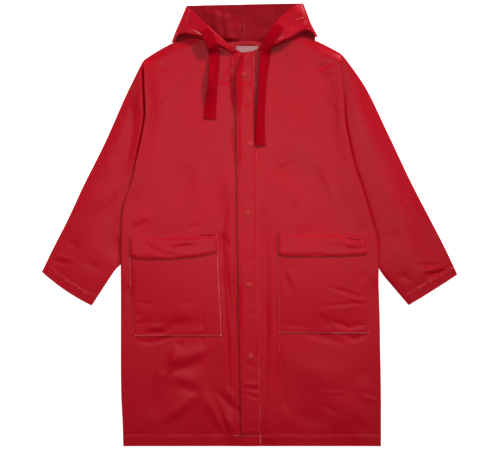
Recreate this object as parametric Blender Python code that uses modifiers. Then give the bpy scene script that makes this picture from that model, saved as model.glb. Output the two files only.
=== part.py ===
"""Kids rain jacket of coated cloth, laid flat on its back with the hood up.

Millimetres in the tables, metres in the model. +X is the wearer's left, +Y runs up to the
hood and +Z up from the table, which is z = 0. "right" and "left" are the wearer's.
"""
import math

import bmesh
import bpy
import numpy as np

MM = 0.001

# Cloth -------------------------------------------------------------------------------
WALL = 1.0                 # thickness of the coated cloth
GAP = 0.35                 # clear space at a seam and between layers
SEAM = 0.45                # clear space along a seam that the cloth meets at a slant
LAYER = WALL + GAP         # height that one more layer adds
FOLD_RADIUS = 0.95         # middle of the cloth where it turns back on itself
FOLD_STEPS = 4             # flat stretches round such a turn
TABLE_MID = WALL / 2       # middle of a layer that lies on the table
SECOND_MID = TABLE_MID + LAYER
FRONT_MID = 3.4            # middle of the fronts over the table, away from their edges
HEM_MID = 2.5              # the same at the hem
HEM_RISE = 45.0            # length from the hem over which it rises
EDGE_RISE = 22.0           # width beside the turned edges that they hold up
LOWEST_FRONT = 2.1         # the fronts never come closer to the table than this
TAPE = 1.2                 # thickness of the flat drawstring
TAPE_WIDTH = 19.0          # of the flat drawstring

SIDES = {"right": -1, "left": 1}

# Outline of the body: y up the jacket, x of the side, then of the edge that lies on the sleeve
BODY_EDGE = {
    "right": [
        (-387, -221.5), (-341, -223.0), (-290, -225.4), (-228, -225.9), (-149, -225.8),
        (-70, -225.8), (-3.5, -224.9), (35, -221.5), (67, -210.0), (114, -198.6),
        (153, -189.5), (183, -184.0), (193.2, -182.7)],
    "left": [
        (-387, 229.1), (-303, 229.1), (-201, 227.5), (-166, 227.0), (-96, 224.9),
        (-65, 224.7), (-37, 223.6), (17.5, 210.0), (68, 195.1), (114, 180.2),
        (153, 171.8), (183, 166.4), (197.8, 165.6)],
}
RAGLAN_FOOT = {"right": (-182.7, 193.2), "left": (165.6, 197.8)}
RAGLAN_TOP = {"right": (-64.8, 315.9), "left": (52.5, 316.8)}
SHOULDER_CORNER = {"right": (-186.5, 286.8), "left": (160.3, 298.0)}

# Closing strip: y, x of its free edge, x of its sewn edge
STRIP = [
    (-364, -14.9, 18.4), (-262, -16.6, 17.4), (-219, -17.4, 16.6), (-175, -18.4, 15.2),
    (-88, -19.6, 13.6), (0, -21.9, 12.8), (65, -22.3, 12.4), (131, -22.6, 12.0),
    (205, -23.2, 10.4), (257, -23.8, 8.4), (278, -20.0, 7.2), (299, -14.0, 6.0)]
STRIP_COLUMNS = (0.0, 0.12, 0.24, 0.5, 0.85, 1.0)
RIGHT_FRONT_ENDS = 0.85    # share of the strip's width where the right front ends below it
LEFT_FRONT_ENDS = 0.03
STRIP_LIFT = 1.4           # the free edge stands up by this much
HEM_Y = -386.5
STRIP_FOOT_Y = -364.0

# Rows of the fronts, hem to chest, and the shares of a front's width from side to strip
BODY_ROWS = (HEM_Y, STRIP_FOOT_Y, -341, -310, -280, -250, -222, -193.4, -166, -140, -114, -87.5,
             -59.5, -38.5, -26.2, -15.8, 7, 35, 67, 96, 124, 153, 178)
UPPER_ROWS = 5             # further rows between the raglan foot and the neckline
COLUMNS = {
    "right": (0.0, 0.034, 0.068, 0.12, 0.2, 0.325, 0.45, 0.575, 0.7, 0.775, 0.821, 0.91, 1.0),
    "left": (0.0, 0.035, 0.083, 0.14, 0.205, 0.33, 0.455, 0.58, 0.705, 0.77, 0.83, 0.92, 1.0),
}
NECKLINE_Y = {"right": 300.5, "left": 303.5}   # where each front's neckline meets the strip
# Its rise beside the strip: height, share of the front's width, reach as such a share
NECK_RISE = {"right": (5.0, 0.84, 0.10), "left": (6.0, 0.78, 0.16)}
NECK_SAG = 5.0             # how far the neckline curves down between the seam and the strip
NECK_SLANT = 3.0           # rise of the neckline across the strip

# Pleat at the side: depth of the cloth turned under, and the height it lies at
FLAP_DEPTH = {"side": 3.5, "sleeve": 14.7}
FLAP_MID = {"side": SECOND_MID, "sleeve": SECOND_MID + 2 * FOLD_RADIUS}
PLEAT_FROM_Y = -125.0      # the side lies flat below this, and on the sleeve above
PLEAT_RISE = 45.0          # this length of it
PLEAT_FADES = (0.6, 0.93)  # share from the foot of the seam to the shoulder's corner

# Largest folds of the fronts: from (x, y) to (x, y), width across, height of the ridge
FOLDS = [
    (-126, -212, -158, -262, 44, 1.5),
    (-138, -250, -70, -222, 40, 1.3),
    (-150, -262, -92, -286, 46, -1.1),
    (-90, -292, -20, -372, 50, 1.2),
    (-70, -322, -44, -386, 36, -1.0),
    (-36, 90, -34, -380, 34, 1.1),
    (34, 40, 33, -380, 34, 1.1),
    (66, -6, 128, 46, 44, 1.2),
    (182, -276, 226, -300, 50, 1.0),
    (-210, -12, -172, 22, 44, 1.1),
    (52, 120, 100, 70, 70, -0.9),
    (158, 262, 120, 300, 44, 1.2),
    (-100, -300, -190, -360, 80, 0.9),
    (90, -230, 190, -350, 90, 0.9),
]

# Sleeves: station along the sleeve, then x, y of the front seam, outer fold and back seam.
# 0 is the neck and 1 the edge that lies on the sleeve, 2 the start of the arm, 8 the cuff.
SLEEVE = {
    "right": [
        (0.0, -64.8, 315.9, -87.5, 331.1, -62.1, 319.1),
        (0.25, -94.2, 285.2, -112.6, 325.3, -77.0, 286.0),
        (0.5, -123.7, 254.5, -137.4, 317.2, -91.0, 253.8),
        (1.0, -182.7, 193.2, -185.0, 288.8, -122.5, 185.5),
        (2.0, -168.0, 193.2, -188.0, 284.7, -126.9, 175.0),
        (3.0, -175.0, 148.8, -215.6, 229.2, -147.0, 126.0),
        (4.0, -189.5, 82.2, -253.8, 143.5, -171.5, 61.2),
        (5.0, -207.0, 17.5, -290.5, 70.0, -197.8, -3.5),
        (6.0, -212.6, -47.2, -321.1, 4.4, -224.3, -66.5),
        (6.5, -235.9, -78.8, -335.5, -23.6, -235.9, -78.8),
        (7.0, -254.6, -106.8, -350.0, -52.5, -254.6, -106.8),
        (8.0, -276.8, -140.9, -364.0, -82.2, -276.8, -140.9)],
    "left": [
        (0.0, 52.5, 316.8, 75.2, 333.7, 49.9, 319.1),
        (0.25, 80.8, 287.0, 97.5, 329.0, 66.5, 286.0),
        (0.5, 109.1, 257.3, 120.8, 319.9, 82.2, 253.8),
        (1.0, 165.6, 197.8, 158.2, 300.1, 115.5, 185.5),
        (2.0, 150.5, 197.8, 162.4, 296.1, 119.9, 175.0),
        (3.0, 157.0, 148.8, 200.4, 243.2, 141.8, 126.0),
        (4.0, 173.2, 82.2, 242.4, 157.5, 168.0, 61.2),
        (5.0, 195.0, 17.5, 282.3, 73.5, 194.2, -3.5),
        (6.0, 211.0, -47.2, 317.6, 5.2, 222.8, -70.0),
        (6.5, 231.9, -85.8, 333.4, -25.2, 231.9, -85.8),
        (7.0, 249.6, -107.3, 348.2, -55.1, 249.6, -107.3),
        (8.0, 277.4, -140.0, 362.6, -86.4, 277.4, -140.0)],
}
YOKE_STATIONS = (0.0, 0.25, 0.5, 0.75, 1.0)
ARM_STATIONS = (2.0, 2.5, 3.0, 3.6, 4.2, 4.8, 5.4, 6.0, 6.5, 7.0, 7.5, 8.0)
SLEEVE_COLUMNS = (0.0, 0.12, 0.25, 0.38, 0.52, 0.68, 0.82, 0.92, 1.0)
SLEEVE_UNDER_COLUMNS = (0.35, 0.7, 1.0)
ARM_LOFT = 2.6             # the middle of the arm's upper layer over its edges
ARM_HIDDEN = 0.3           # share of the arm's width that lies under the body
CUFF_LOFT = 0.6            # share of the loft that is left at the cuff
CUFF_BOW = {"right": 3.5, "left": 0.6}   # how far the cuff's edge bows out
SHOULDER_FALL = (0.62, 0.86)   # where the shoulder starts down to its fold, at the neck, at the corner

# Hood: share from the front end to the side fold, then x, y of the lower edge and of the opening
HOOD_TOP = {
    "right": [
        (0.00, -31.0, 300.5, -23.6, 302.6),
        (0.15, -48.0, 308.0, -39.0, 316.8),
        (0.35, -68.0, 316.5, -59.0, 334.0),
        (0.55, -87.0, 325.5, -77.0, 350.5),
        (0.70, -102.0, 329.0, -90.0, 363.5),
        (0.85, -120.0, 331.0, -101.0, 374.5),
        (1.00, -133.5, 321.5, -107.5, 381.2)],
    "left": [
        (0.00, 19.0, 303.0, 14.9, 306.6),
        (0.15, 33.0, 306.8, 24.0, 322.0),
        (0.35, 54.0, 315.5, 38.0, 343.5),
        (0.55, 74.0, 324.5, 53.0, 360.5),
        (0.70, 86.0, 332.5, 66.0, 373.0),
        (0.85, 100.0, 337.5, 79.0, 383.2),
        (1.00, 116.0, 331.0, 89.5, 386.4)],
}
# Side fold of the hood: share from neck to opening, x, y, radius of the fold
HOOD_FOLD = {
    "right": [(0.0, -136.5, 320.2, 2.6), (0.38, -127.8, 343.0, 4.2), (0.72, -117.6, 366.5, 3.4),
              (1.0, -111.0, 383.4, 1.2)],
    "left": [(0.0, 119.0, 329.0, 2.6), (0.35, 107.0, 351.0, 4.2), (0.7, 99.5, 371.0, 3.4),
             (1.0, 93.4, 387.6, 1.2)],
}
# Hood's back layer: share from the side fold to the centre seam, x, y at the neck and at the top
HOOD_BACK = {
    "right": [(0.0, -133.5, 318.4, -109.0, 383.6), (0.4, -87.4, 332.0, -72.0, 384.4),
              (0.62, -60.5, 319.8, -45.0, 385.0), (1.0, -9.9, 319.4, -9.9, 385.8)],
    "left": [(0.0, 116.0, 323.4, 91.5, 387.6), (0.4, 75.6, 334.6, 60.0, 387.2),
             (0.62, 48.5, 319.8, 36.0, 386.8), (1.0, -9.3, 319.4, -9.3, 385.8)],
}
HOOD_COLUMNS = (0.0, 0.12, 0.26, 0.4, 0.54, 0.68, 0.8, 0.9, 1.0)
HOOD_BACK_COLUMNS = (0.18, 0.4, 0.62, 0.82, 1.0)
HOOD_ROWS = (0.0, 0.02, 0.07, 0.15, 0.28, 0.44, 0.62, 0.8, 1.0)
HOOD_SEAM_MID = (5.4, 3.4)     # height of the hood's lower edge on the fronts, then beside them
HOOD_LOFT = 12.0           # how far the hood's side stands over its seam
LEAST_LOFT = 1.6           # the same at the ends of the side
FOLD_LOFT = 0.45           # share of the loft near the side fold
HOOD_FALL = 0.22           # share of the loft that is lost on the way to the opening
HOOD_BULGE = 0.16          # share of its depth in which the side rises from the seam

# Pockets: columns and rows of the front that the bag and flap cover
POCKET = {
    "right": {"columns": (0.068, 0.821), "rise": 0.0, "lean": 4.8},
    "left": {"columns": (0.083, 0.83), "rise": 4.6, "lean": -0.5},
}
BAG_ROWS = (-193.4, -26.2)
FLAP_ROWS = (-59.5, -15.8)
BAG_BELLY = 2.2            # how far the bag stands off the front in its middle
FLAP_BELLY = 1.0
FLAP_CLEAR = 0.25          # further clear space between the flap and the bag
# How much of a pocket's lean and rise the front takes up: y, share
LEAN_ALONG = [(-387, 0), (-330, 0), (-200, 1), (-40, 0), (300, 0)]
RISE_ALONG = [(-387, 0), (-320, 0), (-215, 1), (10, 1), (120, 0), (300, 0)]
# Lower edge of a flap: share of its width from the side, how far the edge stands up
FLAP_CORNERS = {
    "right": [(0.0, 7.7), (0.03, 3.5), (0.08, 1.2), (0.31, 0.0), (0.56, 1.4), (0.74, 4.2), (0.89, 8.4),
              (1.0, 13.0)],
    "left": [(0.0, 9.5), (0.03, 4.6), (0.08, 2.6), (0.16, 1.8), (0.5, 0.3), (0.8, 0.0), (0.93, 0.8),
             (0.97, 2.5), (1.0, 7.5)],
}

# Press-studs: x, y on the strip, station and share across on the cuffs
STRIP_SNAPS = [(-10.0, 262.8), (0.0, 141.4), (-4.4, 19.2), (-2.1, -105.0), (0.5, -229.2)]
CUFF_SNAPS = {"right": [(7.61, 0.57), (7.62, 0.34)], "left": [(7.57, 0.54), (7.58, 0.33)]}
STRIP_SNAP_RADIUS = 5.2
CUFF_SNAP_RADIUS = 3.8
SNAP_HEIGHT = 2.2
SNAP_STEPS = 14
# Half profile of a cap: share of its radius, share of its height
SNAP_PROFILE = [(0.0, 1.0), (0.55, 0.86), (0.88, 0.52), (1.0, 0.1), (1.0, 0.0), (0.0, 0.0)]

# Drawstrings: x, y, z of the middle of the tape, and its turn about its own length in degrees
DRAWSTRING = {
    "right": [
        (-79.6, 339.5, 18.0, 0), (-73.5, 329.0, 18.8, 0), (-67.6, 317.5, 17.6, 2),
        (-65.2, 310.8, 16.4, 4), (-63.0, 303.5, 10.6, 6), (-62.1, 295.5, 7.4, 10),
        (-62.3, 284.0, 7.6, 14),
        (-63.5, 268.0, 10.5, 34), (-64.2, 252.0, 12.1, 46), (-65.2, 238.0, 11.3, 40),
        (-67.4, 222.2, 7.8, 16), (-69.2, 204.8, 5.9, 4), (-70.5, 184.3, 5.3, 0)],
    "left": [
        (54.2, 345.6, 17.0, 0), (43.8, 334.2, 17.6, 0), (34.5, 321.5, 16.4, 0),
        (28.8, 309.0, 13.0, 4), (26.2, 297.0, 9.4, 12), (25.2, 284.0, 8.5, 20),
        (24.5, 267.8, 9.4, 26), (23.8, 245.0, 9.7, 28), (21.6, 218.8, 9.7, 28),
        (19.2, 192.5, 9.4, 26), (17.8, 166.2, 8.5, 20), (17.2, 138.6, 6.7, 8)],
}

LABEL = {"x": (-24.0, 14.5), "y": (290.0, 312.9), "wall": 0.8}
LOOP = {"x": (-21.0, 14.0), "y": (315.8, 320.0), "bow": 1.2, "steps": 8}

# Places along the back panel's edge: y up its side, then stations of the sleeve beside it
BACK_SIDE = (HEM_Y, -341, -290, -228, -149, -96)
BACK_STATIONS = (6.0, 5.4, 4.8, 4.2, 3.6, 3.0, 2.0, 1.0, 0.5, 0.25, 0.0)

COLOURS = {
    "cloth": (0.46, 0.012, 0.022, 0.42),
    "tape": (0.36, 0.006, 0.014, 0.85),
    "snap": (0.44, 0.014, 0.022, 0.30),
    "label": (0.80, 0.52, 0.52, 0.90),
}


# Reading tables ----------------------------------------------------------------------
def smooth(rows, at):
    """Values of a table's other columns at a place in its first, on a curve with no overshoot."""
    table = np.array(rows, dtype=float)
    place, value = table[:, 0], table[:, 1:]
    step = np.diff(place)[:, None]
    rise = np.diff(value, axis=0) / step
    slope = np.vstack([rise[:1], np.zeros((len(place) - 2, value.shape[1])), rise[-1:]])
    before, after = rise[:-1], rise[1:]
    same_way = before * after > 0
    total = np.where(same_way, before + after, 1.0)
    slope[1:-1] = np.where(same_way, 2 * before * after / total, 0.0)
    k = int(np.clip(np.searchsorted(place, at, side="right") - 1, 0, len(place) - 2))
    t = float(np.clip((at - place[k]) / step[k, 0], 0, 1))
    return (value[k] * (1 + 2 * t) * (1 - t) ** 2 + value[k + 1] * t * t * (3 - 2 * t)
            + step[k] * (slope[k] * t * (1 - t) ** 2 - slope[k + 1] * t * t * (1 - t)))


def ramp(value, start, end):
    """0 before start and 1 after end, with a soft rise between them."""
    t = min(max((value - start) / (end - start), 0.0), 1.0)
    return t * t * (3 - 2 * t)


def mix(a, b, share):
    return a + (b - a) * share


# Heights of the fronts ---------------------------------------------------------------
def fold_height(x, y):
    """Sum of the largest folds at a place on the fronts."""
    total = 0.0
    for x0, y0, x1, y1, width, height in FOLDS:
        run = math.hypot(x1 - x0, y1 - y0)
        along = ((x - x0) * (x1 - x0) + (y - y0) * (y1 - y0)) / run
        aside = abs((x - x0) * (y1 - y0) - (y - y0) * (x1 - x0)) / run
        if aside < width / 2:
            crest = math.cos(math.pi * aside / width) ** 2
            taper = ramp(along, -width / 2, width / 2) * ramp(run - along, -width / 2, width / 2)
            total += height * crest * taper
    return total


def edge_x(side, y):
    """x of the front's outer edge, up to the raglan foot and straight on along the shoulder."""
    foot_x, foot_y = RAGLAN_FOOT[side]
    corner_x, corner_y = SHOULDER_CORNER[side]
    if y <= foot_y:
        return float(smooth(BODY_EDGE[side], y)[0])
    return mix(foot_x, corner_x, min((y - foot_y) / (corner_y - foot_y), 1.0))


def pleat(y):
    """0 along the plain side, 1 where the body lies on the sleeve."""
    return ramp(y, PLEAT_FROM_Y, PLEAT_FROM_Y + PLEAT_RISE)


def edge_mid(y):
    """Height of the middle of the upper layer where it starts to turn under."""
    return mix(FLAP_MID["side"], FLAP_MID["sleeve"], pleat(y)) + 2 * FOLD_RADIUS


def rest(x, y):
    """Height of the middle of the fronts and shoulders over the table."""
    side = "right" if x < 0 else "left"
    inward = (edge_x(side, y) - x) * SIDES[side]
    near_edge = math.exp(-(max(inward, 0.0) / EDGE_RISE) ** 2)
    level = mix(HEM_MID, FRONT_MID, ramp(y, HEM_Y, HEM_Y + HEM_RISE))
    level = max(level + fold_height(x, y) * ramp(inward, 4, 26), LOWEST_FRONT)
    return mix(level, edge_mid(y), near_edge)


# Cloth bodies ------------------------------------------------------------------------
def finish_material(kind):
    name = "rain_jacket_" + kind
    material = bpy.data.materials.get(name) or bpy.data.materials.new(name)
    material.use_nodes = True
    shader = material.node_tree.nodes["Principled BSDF"]
    red, green, blue, roughness = COLOURS[kind]
    shader.inputs["Base Color"].default_value = (red, green, blue, 1.0)
    shader.inputs["Roughness"].default_value = roughness
    shader.inputs["Metallic"].default_value = 0.0
    return material


def link(name, shape, kind):
    body = bpy.data.objects.new(name, shape)
    shape.materials.append(finish_material(kind))
    jacket.objects.link(body)
    return body


def cloth(name, points, kind="cloth", wall=WALL, keep=None):
    """A wall of cloth on a grid of points, points[row][column] = (x, y, z) at its middle.

    keep(row, column) says which cells of the grid the cloth has.
    """
    rows, columns = len(points), len(points[0])
    mesh = bpy.data.meshes.new(name)
    grid = bmesh.new()
    bmesh.ops.create_grid(grid, x_segments=columns - 1, y_segments=rows - 1, size=1.0)
    cells = {}
    for vertex in grid.verts:
        column = round((vertex.co.x + 1) / 2 * (columns - 1))
        row = round((vertex.co.y + 1) / 2 * (rows - 1))
        cells[vertex] = (row, column)
    for vertex, (row, column) in cells.items():
        vertex.co = [value * MM for value in points[row][column]]
    if keep:
        lost = [face for face in grid.faces if not keep(*min(cells[vertex] for vertex in face.verts))]
        bmesh.ops.delete(grid, geom=lost, context="FACES")
    grid.to_mesh(mesh)
    grid.free()
    body = link(name, mesh, kind)
    thickness = body.modifiers.new("wall", "SOLIDIFY")
    thickness.thickness = wall * MM
    thickness.offset = 0.0
    thickness.use_even_offset = True
    thickness.use_quality_normals = True
    mesh.shade_smooth()
    return body


def turn_profile(reverse=False):
    """Half a circle down a turned edge: distance in from its furthest point, and height."""
    angles = [math.pi * k / FOLD_STEPS for k in range(FOLD_STEPS + 1)]
    profile = [(FOLD_RADIUS * (1 - math.sin(a)), FOLD_RADIUS * (1 + math.cos(a))) for a in angles]
    return profile[::-1] if reverse else profile


# Fronts ------------------------------------------------------------------------------
def strip_x(y, share):
    free, sewn = smooth(STRIP, y)
    return mix(free, sewn, share)


def pocket_shift(side, across, y):
    """How the rows and columns move so that the pocket stands where it is sewn."""
    pocket = POCKET[side]
    first, last = pocket["columns"]
    by_strip = ramp(1 - across, 0.0, 1 - last)
    lean = pocket["lean"] * float(smooth(LEAN_ALONG, y)[0]) * ramp(across, 0.0, first) * by_strip
    rise = pocket["rise"] * float(smooth(RISE_ALONG, y)[0]) * by_strip
    return lean, rise


def front_place(side, across, y):
    """Plan point of a front: across is 0 at the side and 1 at the strip, more lies under it."""
    sign = SIDES[side]
    near_strip = 0.0 if side == "right" else 1.0
    outer = edge_x(side, y) - sign * (FOLD_RADIUS + WALL / 2)
    lean, rise = pocket_shift(side, min(across, 1.0), y)
    if across > 1.0:
        return strip_x(y, across - 1.0 if side == "right" else 2.0 - across), y
    return mix(outer, strip_x(y, near_strip), across) + lean, y + rise


def raglan(side, share):
    """Plan point on the raglan seam, from the neck to the edge that lies on the sleeve."""
    foot_x, foot_y = RAGLAN_FOOT[side]
    foot = np.array([foot_x - SIDES[side] * (FOLD_RADIUS + WALL / 2), foot_y])
    return mix(np.array(RAGLAN_TOP[side]), foot, share)


def upper_place(side, across, share):
    """Plan point between the row through the raglan foot and the neckline."""
    seam_x, seam_y = raglan(side, 1 - share)
    strip_y = mix(RAGLAN_FOOT[side][1], NECKLINE_Y[side], share)
    if across > 1.0:
        slant = (across - 1.0) * share * NECK_SLANT * -SIDES[side]
        under = across - 1.0 if side == "right" else 2.0 - across
        return strip_x(strip_y + slant, under), strip_y + slant
    height, place, reach = NECK_RISE[side]
    rise = height * share ** 3 * math.exp(-((across - place) / reach) ** 2)
    y = mix(seam_y, strip_y, across) - NECK_SAG * share * math.sin(math.pi * across) + rise
    near_strip = 0.0 if side == "right" else 1.0
    return mix(seam_x, strip_x(y, near_strip), across), y


def strip_step(side, across):
    """Layers that lie between the lower front and this column of a front."""
    if side == "right" or across <= 1.0:
        return 0.0
    return ramp(across - 1.0, 0.0, 1.0 - RIGHT_FRONT_ENDS) * LAYER


def front_columns(side):
    """Shares across a front: from the side to the strip, then under the strip."""
    if side == "right":
        below = [1.0 + share for share in STRIP_COLUMNS if 0 < share <= RIGHT_FRONT_ENDS]
    else:
        below = [2.0 - share for share in STRIP_COLUMNS[::-1] if LEFT_FRONT_ENDS <= share < 1]
    return list(COLUMNS[side]) + below


def front_rows(side):
    """Every row of a front as a function that gives the plan point of a column."""
    rows = [lambda across, y=y: front_place(side, across, y) for y in BODY_ROWS]
    for k in range(UPPER_ROWS + 1):
        rows.append(lambda across, share=k / UPPER_ROWS: upper_place(side, across, share))
    return rows


def front_point(side, across, place):
    x, y = place(across)
    return x, y, rest(x, y) + strip_step(side, across)


def turned_edge(side, y):
    """The side of a front where the cloth turns under, from the hidden end to the edge."""
    sign = SIDES[side]
    outer = edge_x(side, y) - sign * WALL / 2
    depth = mix(FLAP_DEPTH["side"], FLAP_DEPTH["sleeve"], pleat(y))
    flap = edge_mid(y) - 2 * FOLD_RADIUS
    points = [(outer - sign * depth, y, flap), (outer - sign * (depth + FOLD_RADIUS) / 2, y, flap)]
    for inward, height in turn_profile(reverse=True)[:-1]:
        points.append((outer - sign * inward, y, flap + height))
    return points


def make_front(side):
    columns = front_columns(side)
    rows = front_rows(side)
    foot_y = RAGLAN_FOOT[side][1]
    points = []
    for place in rows:
        y = min(place(0.0)[1], foot_y)
        points.append(turned_edge(side, y) + [front_point(side, across, place) for across in columns])
    turned = FOLD_STEPS + 2
    foot_row = len(BODY_ROWS)
    return cloth("front_" + side, points, keep=lambda row, column: row < foot_row or column >= turned)


def make_strip():
    points = []
    for place in front_rows("right"):
        if place(1.0)[1] < STRIP_FOOT_Y:
            continue
        row = []
        for share in STRIP_COLUMNS:
            x, y = place(1.0 + share)
            lift = STRIP_LIFT * (1 - ramp(share, 0.0, STRIP_COLUMNS[2]))
            over = LAYER * (1 - ramp(share, RIGHT_FRONT_ENDS, 1.0))
            row.append((x, y, rest(x, y) + LAYER + over + lift))
        points.append(row)
    return cloth("placket", points)


def pocket_points(side, rows, columns, above, belly):
    """Points of a piece that lies on a front, made from the front's own points."""
    first, last = POCKET[side]["columns"]
    low, high = rows
    points = []
    for y in [row for row in BODY_ROWS if low <= row <= high]:
        line = []
        for across in [share for share in columns if first <= share <= last]:
            x, row_y = front_place(side, across, y)
            wide = (across - first) / (last - first)
            tall = (y - low) / (high - low)
            line.append((x, row_y, rest(x, row_y) + above + belly(wide, tall)))
        points.append(line)
    return points


def bag_belly(wide, tall):
    return BAG_BELLY * math.sin(math.pi * wide) ** 0.7 * math.sin(math.pi * (0.06 + 0.74 * tall)) ** 0.8


def make_pocket(side):
    def belly(wide, tall):
        return bag_belly(wide, tall) * ramp(tall, 0.0, 0.25)
    return cloth("pocket_" + side, pocket_points(side, BAG_ROWS, COLUMNS[side], LAYER, belly))


def make_flap(side):
    low, high = BAG_ROWS

    def belly(wide, tall):
        y = mix(FLAP_ROWS[0], FLAP_ROWS[1], tall)
        over_bag = 1 - ramp(y, high - 2, FLAP_ROWS[1] - 3)
        bag = bag_belly(wide, (min(y, high) - low) / (high - low))
        return (bag + LAYER + FLAP_CLEAR) * over_bag + FLAP_BELLY * math.sin(math.pi * (1 - tall) * 0.5)

    points = pocket_points(side, FLAP_ROWS, COLUMNS[side], LAYER, belly)
    first, last = POCKET[side]["columns"]
    shares = [(share - first) / (last - first) for share in COLUMNS[side] if first <= share <= last]
    for k, share in enumerate(shares):
        x, y, z = points[0][k]
        points[0][k] = (x, y + float(smooth(FLAP_CORNERS[side], share)[0]), z)
    return cloth("flap_" + side, points)


# Back --------------------------------------------------------------------------------
def make_back():
    """Flat panel between the back raglan seams, with the hem and sides under the fronts."""
    halves = {}
    for side, sign in SIDES.items():
        edge = [(edge_x(side, y) - sign * WALL / 2, y) for y in BACK_SIDE]
        for station in BACK_STATIONS:
            x, y = smooth(SLEEVE[side], station)[4:6]
            edge.append((x - sign * GAP, y))
        halves[side] = edge
    return flat_plate("back", halves["left"] + halves["right"][::-1])


def flat_plate(name, shape, kind="cloth", base=0.0, wall=WALL):
    """A flat wall on an outline of (x, y) points, lying with its underside at height base."""
    outline = bpy.data.curves.new(name, "CURVE")
    outline.dimensions = "2D"
    outline.fill_mode = "BOTH"
    outline.extrude = wall / 2 * MM
    spline = outline.splines.new("POLY")
    spline.points.add(len(shape) - 1)
    for point, (x, y) in zip(spline.points, shape):
        point.co = (x * MM, y * MM, 0.0, 1.0)
    spline.use_cyclic_u = True
    body = link(name, outline, kind)
    body.location.z = (base + wall / 2) * MM
    return body


# Sleeves -----------------------------------------------------------------------------
def sleeve_ends(side, station):
    """Plan points of the front seam, outer fold and back seam at a station, and its row's bow."""
    row = smooth(SLEEVE[side], station)
    front, outer, back = row[0:2], row[2:4], row[4:6]
    if station <= 1.0:
        front = raglan(side, station)
    return front, outer, back, max(station - 7.0, 0.0) * CUFF_BOW[side]


def arm_mid(station, across):
    """Height of the middle of the arm's upper layer."""
    hidden = mix(ARM_HIDDEN, 0.0, ramp(station, 6.0, 6.6))
    share = min(max((across - hidden) / (1 - hidden), 0.0), 1.0)
    crown = ARM_LOFT * math.sin(math.pi * share) ** 1.2 * ramp(station, 2.0, 3.4)
    crown *= mix(1.0, CUFF_LOFT, ramp(station, 7.0, 8.0))
    edge = mix(SECOND_MID, TABLE_MID + 2 * FOLD_RADIUS, ramp(across, 0.6, 1.0))
    return edge + crown


def shoulder_mid(x, y, across, station):
    """Height of the middle of the shoulder, lower where it turns over the outer fold."""
    falls_from = mix(*SHOULDER_FALL, station)
    return mix(rest(x, y), TABLE_MID + 2 * FOLD_RADIUS, ramp(across, falls_from, 1.0))


def unit(vector):
    return vector / np.linalg.norm(vector)


def bowed(start, end, share, bow):
    """Plan point on the way from start to end, on a line that bows towards the cuff."""
    way = unit(end - start)
    down = np.array([way[1], -way[0]])
    if down[1] > 0:
        down = -down
    return mix(start, end, share) + down * bow * 4 * share * (1 - share)


def upper_place_on(front, outer, across, bow):
    """Plan point of a sleeve's upper layer."""
    inner = outer - unit(outer - front) * (FOLD_RADIUS + WALL / 2)
    return bowed(front, inner, across, bow)


def sleeve_row(front, outer, back, top_mid, bow=0.0):
    """One row round a flat sleeve: upper layer, outer fold, lower layer."""
    out = unit(outer - front)
    points = []
    for across in SLEEVE_COLUMNS:
        x, y = upper_place_on(front, outer, across, bow)
        points.append((x, y, top_mid(x, y, across)))
    for inward, height in turn_profile()[1:]:
        x, y = outer - out * (inward + WALL / 2)
        points.append((x, y, TABLE_MID + height))
    for under in SLEEVE_UNDER_COLUMNS:
        x, y = bowed(upper_place_on(front, outer, 1.0, bow), back, under, bow)
        points.append((x, y, TABLE_MID))
    return points


def pleat_profile(depth):
    """Two turns of a flat pleat: distance in from its edge, and drop as a share of the whole."""
    upper = [(x, 2 * FOLD_RADIUS - z) for x, z in turn_profile()]
    lower = [(depth + FOLD_RADIUS - x, 4 * FOLD_RADIUS - z) for x, z in turn_profile()]
    profile = upper + [((depth + FOLD_RADIUS) / 2, 2 * FOLD_RADIUS)] + lower
    return [(x, drop / (4 * FOLD_RADIUS)) for x, drop in profile]


def pleat_rows(side, first, last):
    """Rows between the edge that lies on the sleeve and the arm below it, folded twice."""
    sign = SIDES[side]
    foot = np.array(RAGLAN_FOOT[side])
    corner = np.array(SHOULDER_CORNER[side])
    steps = len(pleat_profile(1.0)) - 1
    tops = len(SLEEVE_COLUMNS)
    rows = []
    for k in range(1, steps):
        row = []
        for column, (high, low) in enumerate(zip(first, last)):
            high, low = np.array(high), np.array(low)
            flat = mix(high, low, k / steps)
            if column < tops:
                across = SLEEVE_COLUMNS[column]
                crease = mix(foot, corner, across)
                depth = max((crease[0] - low[0]) * sign, FOLD_RADIUS)
                inward, drop = pleat_profile(depth)[k]
                place = crease[0] - sign * (inward + WALL / 2)
                folded = np.array([place, mix(high[1], low[1], k / steps), mix(high[2], low[2], drop)])
                flat = mix(flat, folded, 1 - ramp(across, *PLEAT_FADES))
            row.append(tuple(flat))
        rows.append(row)
    return rows


def make_sleeve(side):
    yoke, arm = [], []
    for station in YOKE_STATIONS:
        front, outer, back, bow = sleeve_ends(side, station)
        front = front + unit(outer - front) * SEAM
        yoke.append(sleeve_row(front, outer, back,
                               lambda x, y, across: shoulder_mid(x, y, across, station)))
    for station in ARM_STATIONS:
        front, outer, back, bow = sleeve_ends(side, station)
        if station == 2.0:
            front = front + unit(outer - front) * SEAM
        arm.append(sleeve_row(front, outer, back, lambda x, y, across: arm_mid(station, across), bow))
    return cloth("sleeve_" + side, yoke + pleat_rows(side, yoke[-1], arm[0]) + arm)


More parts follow.
